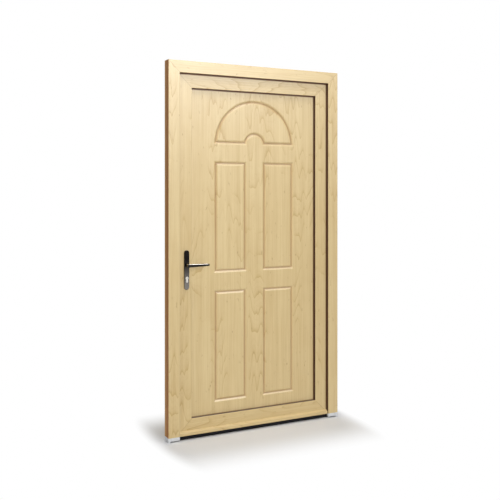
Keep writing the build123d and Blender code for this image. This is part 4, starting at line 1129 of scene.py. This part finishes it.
@dataclass
class PlateScrews:
    """The two screws that clamp the handle plates, with a cross recess in the head."""

    across: float = -0.437
    heights: Span = (1.040, 0.841)
    tip: float = -0.018
    seat: float = 0.059
    face: float = 0.061
    shank: float = 0.0025
    head: float = 0.0045
    rim: float = 0.00025
    recess: Point = (0.0050, 0.0011, 0.0018)
    taper: float = 0.6

    @property
    def centre(self) -> Point:
        """The middle of the upper screw's head, on its face."""
        return (self.across, self.face, self.heights[0])

    def build(self) -> Piece:
        """Models one screw and copies it for the other.

        Returns:
            Both screws as one object.
        """
        screw = self._screw()
        cross = self._cross()
        Bench.modify(screw, "BOOLEAN", operation="DIFFERENCE", solver="EXACT", object=cross)
        bpy.data.objects.remove(cross, do_unlink=True)
        Bench.hold(screw)
        bpy.ops.object.shade_smooth_by_angle(angle=math.radians(30.0))
        other = screw.copy()
        other.data = screw.data.copy()
        bpy.context.scene.collection.objects.link(other)
        other.location = (0.0, 0.0, self.heights[1] - self.heights[0])
        Bench.settle(other)
        Bench.join(screw, other)
        return screw

    def _screw(self) -> Piece:
        """Turns a rod into a screw with a sunk head.

        Returns:
            The upper screw, without its recess.
        """
        Bench.clear()
        bpy.ops.mesh.primitive_cylinder_add(
            vertices=48,
            radius=self.shank,
            depth=self.seat - self.tip,
            location=(self.across, (self.seat + self.tip) / 2, self.heights[0]),
            rotation=(math.pi / 2, 0.0, 0.0),
        )
        screw = bpy.context.object
        screw.name = "cross_screws"
        Bench.settle(screw)
        Bench.edit(screw)
        Bench.pick(screw, Element.FACE, lambda f: f.normal.y > 0.9)
        bpy.ops.mesh.extrude_region_move(
            TRANSFORM_OT_translate={"value": (0.0, self.face - self.seat, 0.0)}
        )
        swell = self.head / self.shank
        bpy.ops.transform.resize(value=(swell, 1.0, swell), center_override=self.centre)
        bpy.ops.mesh.bevel(offset=self.rim, segments=2, affect="EDGES")
        Bench.pick(screw, Element.FACE, lambda f: f.normal.y < -0.9)
        bpy.ops.mesh.bevel(offset=self.shank / 3, segments=2, affect="EDGES")
        Bench.clear()
        return screw

    def _cross(self) -> Piece:
        """A cross with a tapered foot, as deep as the recess.

        Returns:
            The cutter.
        """
        length, width, depth = self.recess
        bars = []
        for long, high in ((length, width), (width, length)):
            Bench.clear()
            bpy.ops.mesh.primitive_cube_add(size=1.0, location=self.centre)
            bar = bpy.context.object
            bar.scale = (long, 2 * depth, high)
            Bench.settle(bar)
            Bench.edit(bar)
            Bench.pick(bar, Element.FACE, lambda f: f.normal.y < -0.9)
            bpy.ops.transform.resize(
                value=(self.taper, 1.0, self.taper), center_override=self.centre
            )
            bars.append(bar)
        Bench.modify(bars[0], "BOOLEAN", operation="UNION", solver="EXACT", object=bars[1])
        bpy.data.objects.remove(bars[1], do_unlink=True)
        return bars[0]

    def dress(self, screws: Piece) -> None:
        """Puts the screws in the leaf and gives them their steel."""
        dress(screws, Finishes.lock_steel)
        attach(screws, "leaf")
        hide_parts("plate_screws")


@dataclass(frozen=True)
class Lamp:
    """One soft lamp: its place, its aim, its width and height, and its strength in watts."""

    name: str
    place: Point
    aim: Point
    size: Span
    power: float
    skips: str = ""

    def hang(self) -> None:
        """Hangs the lamp, and hides it from the kind of ray that it skips."""
        lamp = bpy.data.lights.new(self.name, "AREA")
        lamp.shape = "RECTANGLE"
        lamp.size, lamp.size_y = self.size
        lamp.energy = self.power
        holder = bpy.data.objects.new(self.name, lamp)
        bpy.context.scene.collection.objects.link(holder)
        holder.location = self.place
        towards = Vector(self.aim) - Vector(self.place)
        holder.rotation_euler = towards.to_track_quat("-Z", "Y").to_euler()
        if self.skips:
            setattr(holder, self.skips, False)


@dataclass
class Studio:
    """The plain white studio: floor, world, lamps and camera."""

    camera_place: Point = (-2.0144, -3.9020, 1.3818)
    camera_turn: float = -26.888
    lens: float = 54.272
    shift: float = -0.1189
    floor_size: float = 40.0
    floor_colour: Colour = (0.76, 0.76, 0.76)
    white: Colour = (1.0, 1.0, 1.0)
    ambient_colour: Colour = (0.97, 0.98, 1.0)
    ambient: float = 0.24
    footprint: Span = (0.52, 0.03)
    # where the painted shade round the door fades into white
    shade_patch_fade: Span = (0.13, 0.52)
    side_pull: float = 4.0
    lamps: tuple[Lamp, ...] = (
        Lamp(
            "sheen_lamp", (1.15, -4.2, 3.70), (0.0, 0.0, 1.3), (2.1, 1.7), 205.0, "visible_diffuse"
        ),
        Lamp("key_lamp", (-0.8, -4.6, 1.9), (0.0, 0.0, 1.0), (2.2, 2.2), 92.0, "visible_glossy"),
        Lamp("rear_lamp", (1.2, 4.4, 2.6), (0.0, 0.0, 1.1), (2.4, 2.4), 110.0),
        Lamp("top_lamp", (-0.2, -0.8, 4.3), (-0.1, 0.0, 0.6), (2.4, 1.6), 70.0),
    )

    def build(self) -> None:
        """Sets up the floor, the world, the lamps and the camera."""
        self._floor()
        self._world()
        for lamp in self.lamps:
            lamp.hang()
        self._camera()

    @staticmethod
    def _seen(sheet: NodeSheet) -> Socket:
        """1 for what the camera sees straight, mirrored or through glass."""
        rays = sheet.new("LightPath").outputs
        seen = sheet.most(rays["Is Camera Ray"], rays["Is Glossy Ray"])
        return sheet.most(seen, rays["Is Transmission Ray"])

    @staticmethod
    def _mix(sheet: NodeSheet, output: str, share: Socket, *shaders: bpy.types.Node) -> None:
        """Mixes two shaders and gives them out.

        Args:
            sheet: the sheet of the material or the world.
            output: the type of its output node.
            share: how much of the second shader.
            *shaders: the two shaders.
        """
        mixed = sheet.new("MixShader")
        sheet.feed(mixed.inputs[0], share)
        for socket, shader in zip(mixed.inputs[1:], shaders):
            sheet.feed(socket, shader.outputs[0])
        sheet.add(output, Surface=mixed.outputs[0])

    def _floor(self) -> None:
        """A pale floor keeping the door's shadow in a grey patch of painted shade, then running
        out into white.
        """
        Bench.clear()
        bpy.ops.mesh.primitive_grid_add(x_subdivisions=8, y_subdivisions=8, size=self.floor_size)
        floor = bpy.context.object
        floor.name = "studio_floor"
        made = bpy.data.materials.new("studio_floor")
        sheet = NodeSheet.blank(made)
        x, y, _ = sheet.parts(sheet.new("TexCoord").outputs["Object"])
        # the floor stays grey, as painted shade, in a patch round the door that also holds its
        # real shadow; further out it turns white
        beside = sheet.most(sheet.minus(sheet.size(x), self.footprint[0]), 0.0)
        beside = sheet.times(beside, self.side_pull)
        before = sheet.most(sheet.minus(sheet.size(y), self.footprint[1]), 0.0)
        squares = [sheet.times(side, side) for side in (beside, before)]
        far = sheet.fade(sheet.math("SQRT", sheet.plus(*squares)), *self.shade_patch_fade)
        matt = sheet.add("BsdfDiffuse", Color=self.floor_colour)
        white = sheet.add("Emission", Color=self.white, Strength=1.0)
        self._mix(sheet, "OutputMaterial", sheet.times(far, self._seen(sheet)), matt, white)
        floor.data.materials.append(made)

    def _world(self) -> None:
        """White where it is seen or mirrored, softer where it lights."""
        world = bpy.data.worlds.new("studio_world")
        bpy.context.scene.world = world
        sheet = NodeSheet.blank(world)
        soft = sheet.add("Background", Color=self.ambient_colour, Strength=self.ambient)
        white = sheet.add("Background", Color=self.white, Strength=1.0)
        self._mix(sheet, "OutputWorld", self._seen(sheet), soft, white)

    def _camera(self) -> None:
        """The camera that the photograph was read with."""
        camera = bpy.data.cameras.new("photo_camera")
        camera.sensor_width = 36.0
        camera.lens = self.lens
        camera.shift_y = self.shift
        camera.clip_end = 100.0
        holder = bpy.data.objects.new("photo_camera", camera)
        bpy.context.scene.collection.objects.link(holder)
        holder.location = self.camera_place
        holder.rotation_euler = (math.pi / 2, 0.0, math.radians(self.camera_turn))
        bpy.context.scene.camera = holder
        bpy.context.scene.view_settings.view_transform = "Standard"


def main() -> None:
    """Builds and dresses the door and its studio."""
    logging.basicConfig(level=logging.INFO, format="%(name)s: %(message)s")
    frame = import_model()
    finishes = Finishes.by_node()
    for name, finish in finishes.items():
        dress(frame["nodes"][name], finish)
    log.info("dressed %d packed pieces", len(finishes))
    for part in (PanelFace(), PlateScrews()):
        piece = part.build()
        part.dress(piece)
        log.info("%s: %d faces", piece.name, len(piece.data.polygons))
    Studio().build()
    Bench.clear()


if __name__ == "__main__":
    main()
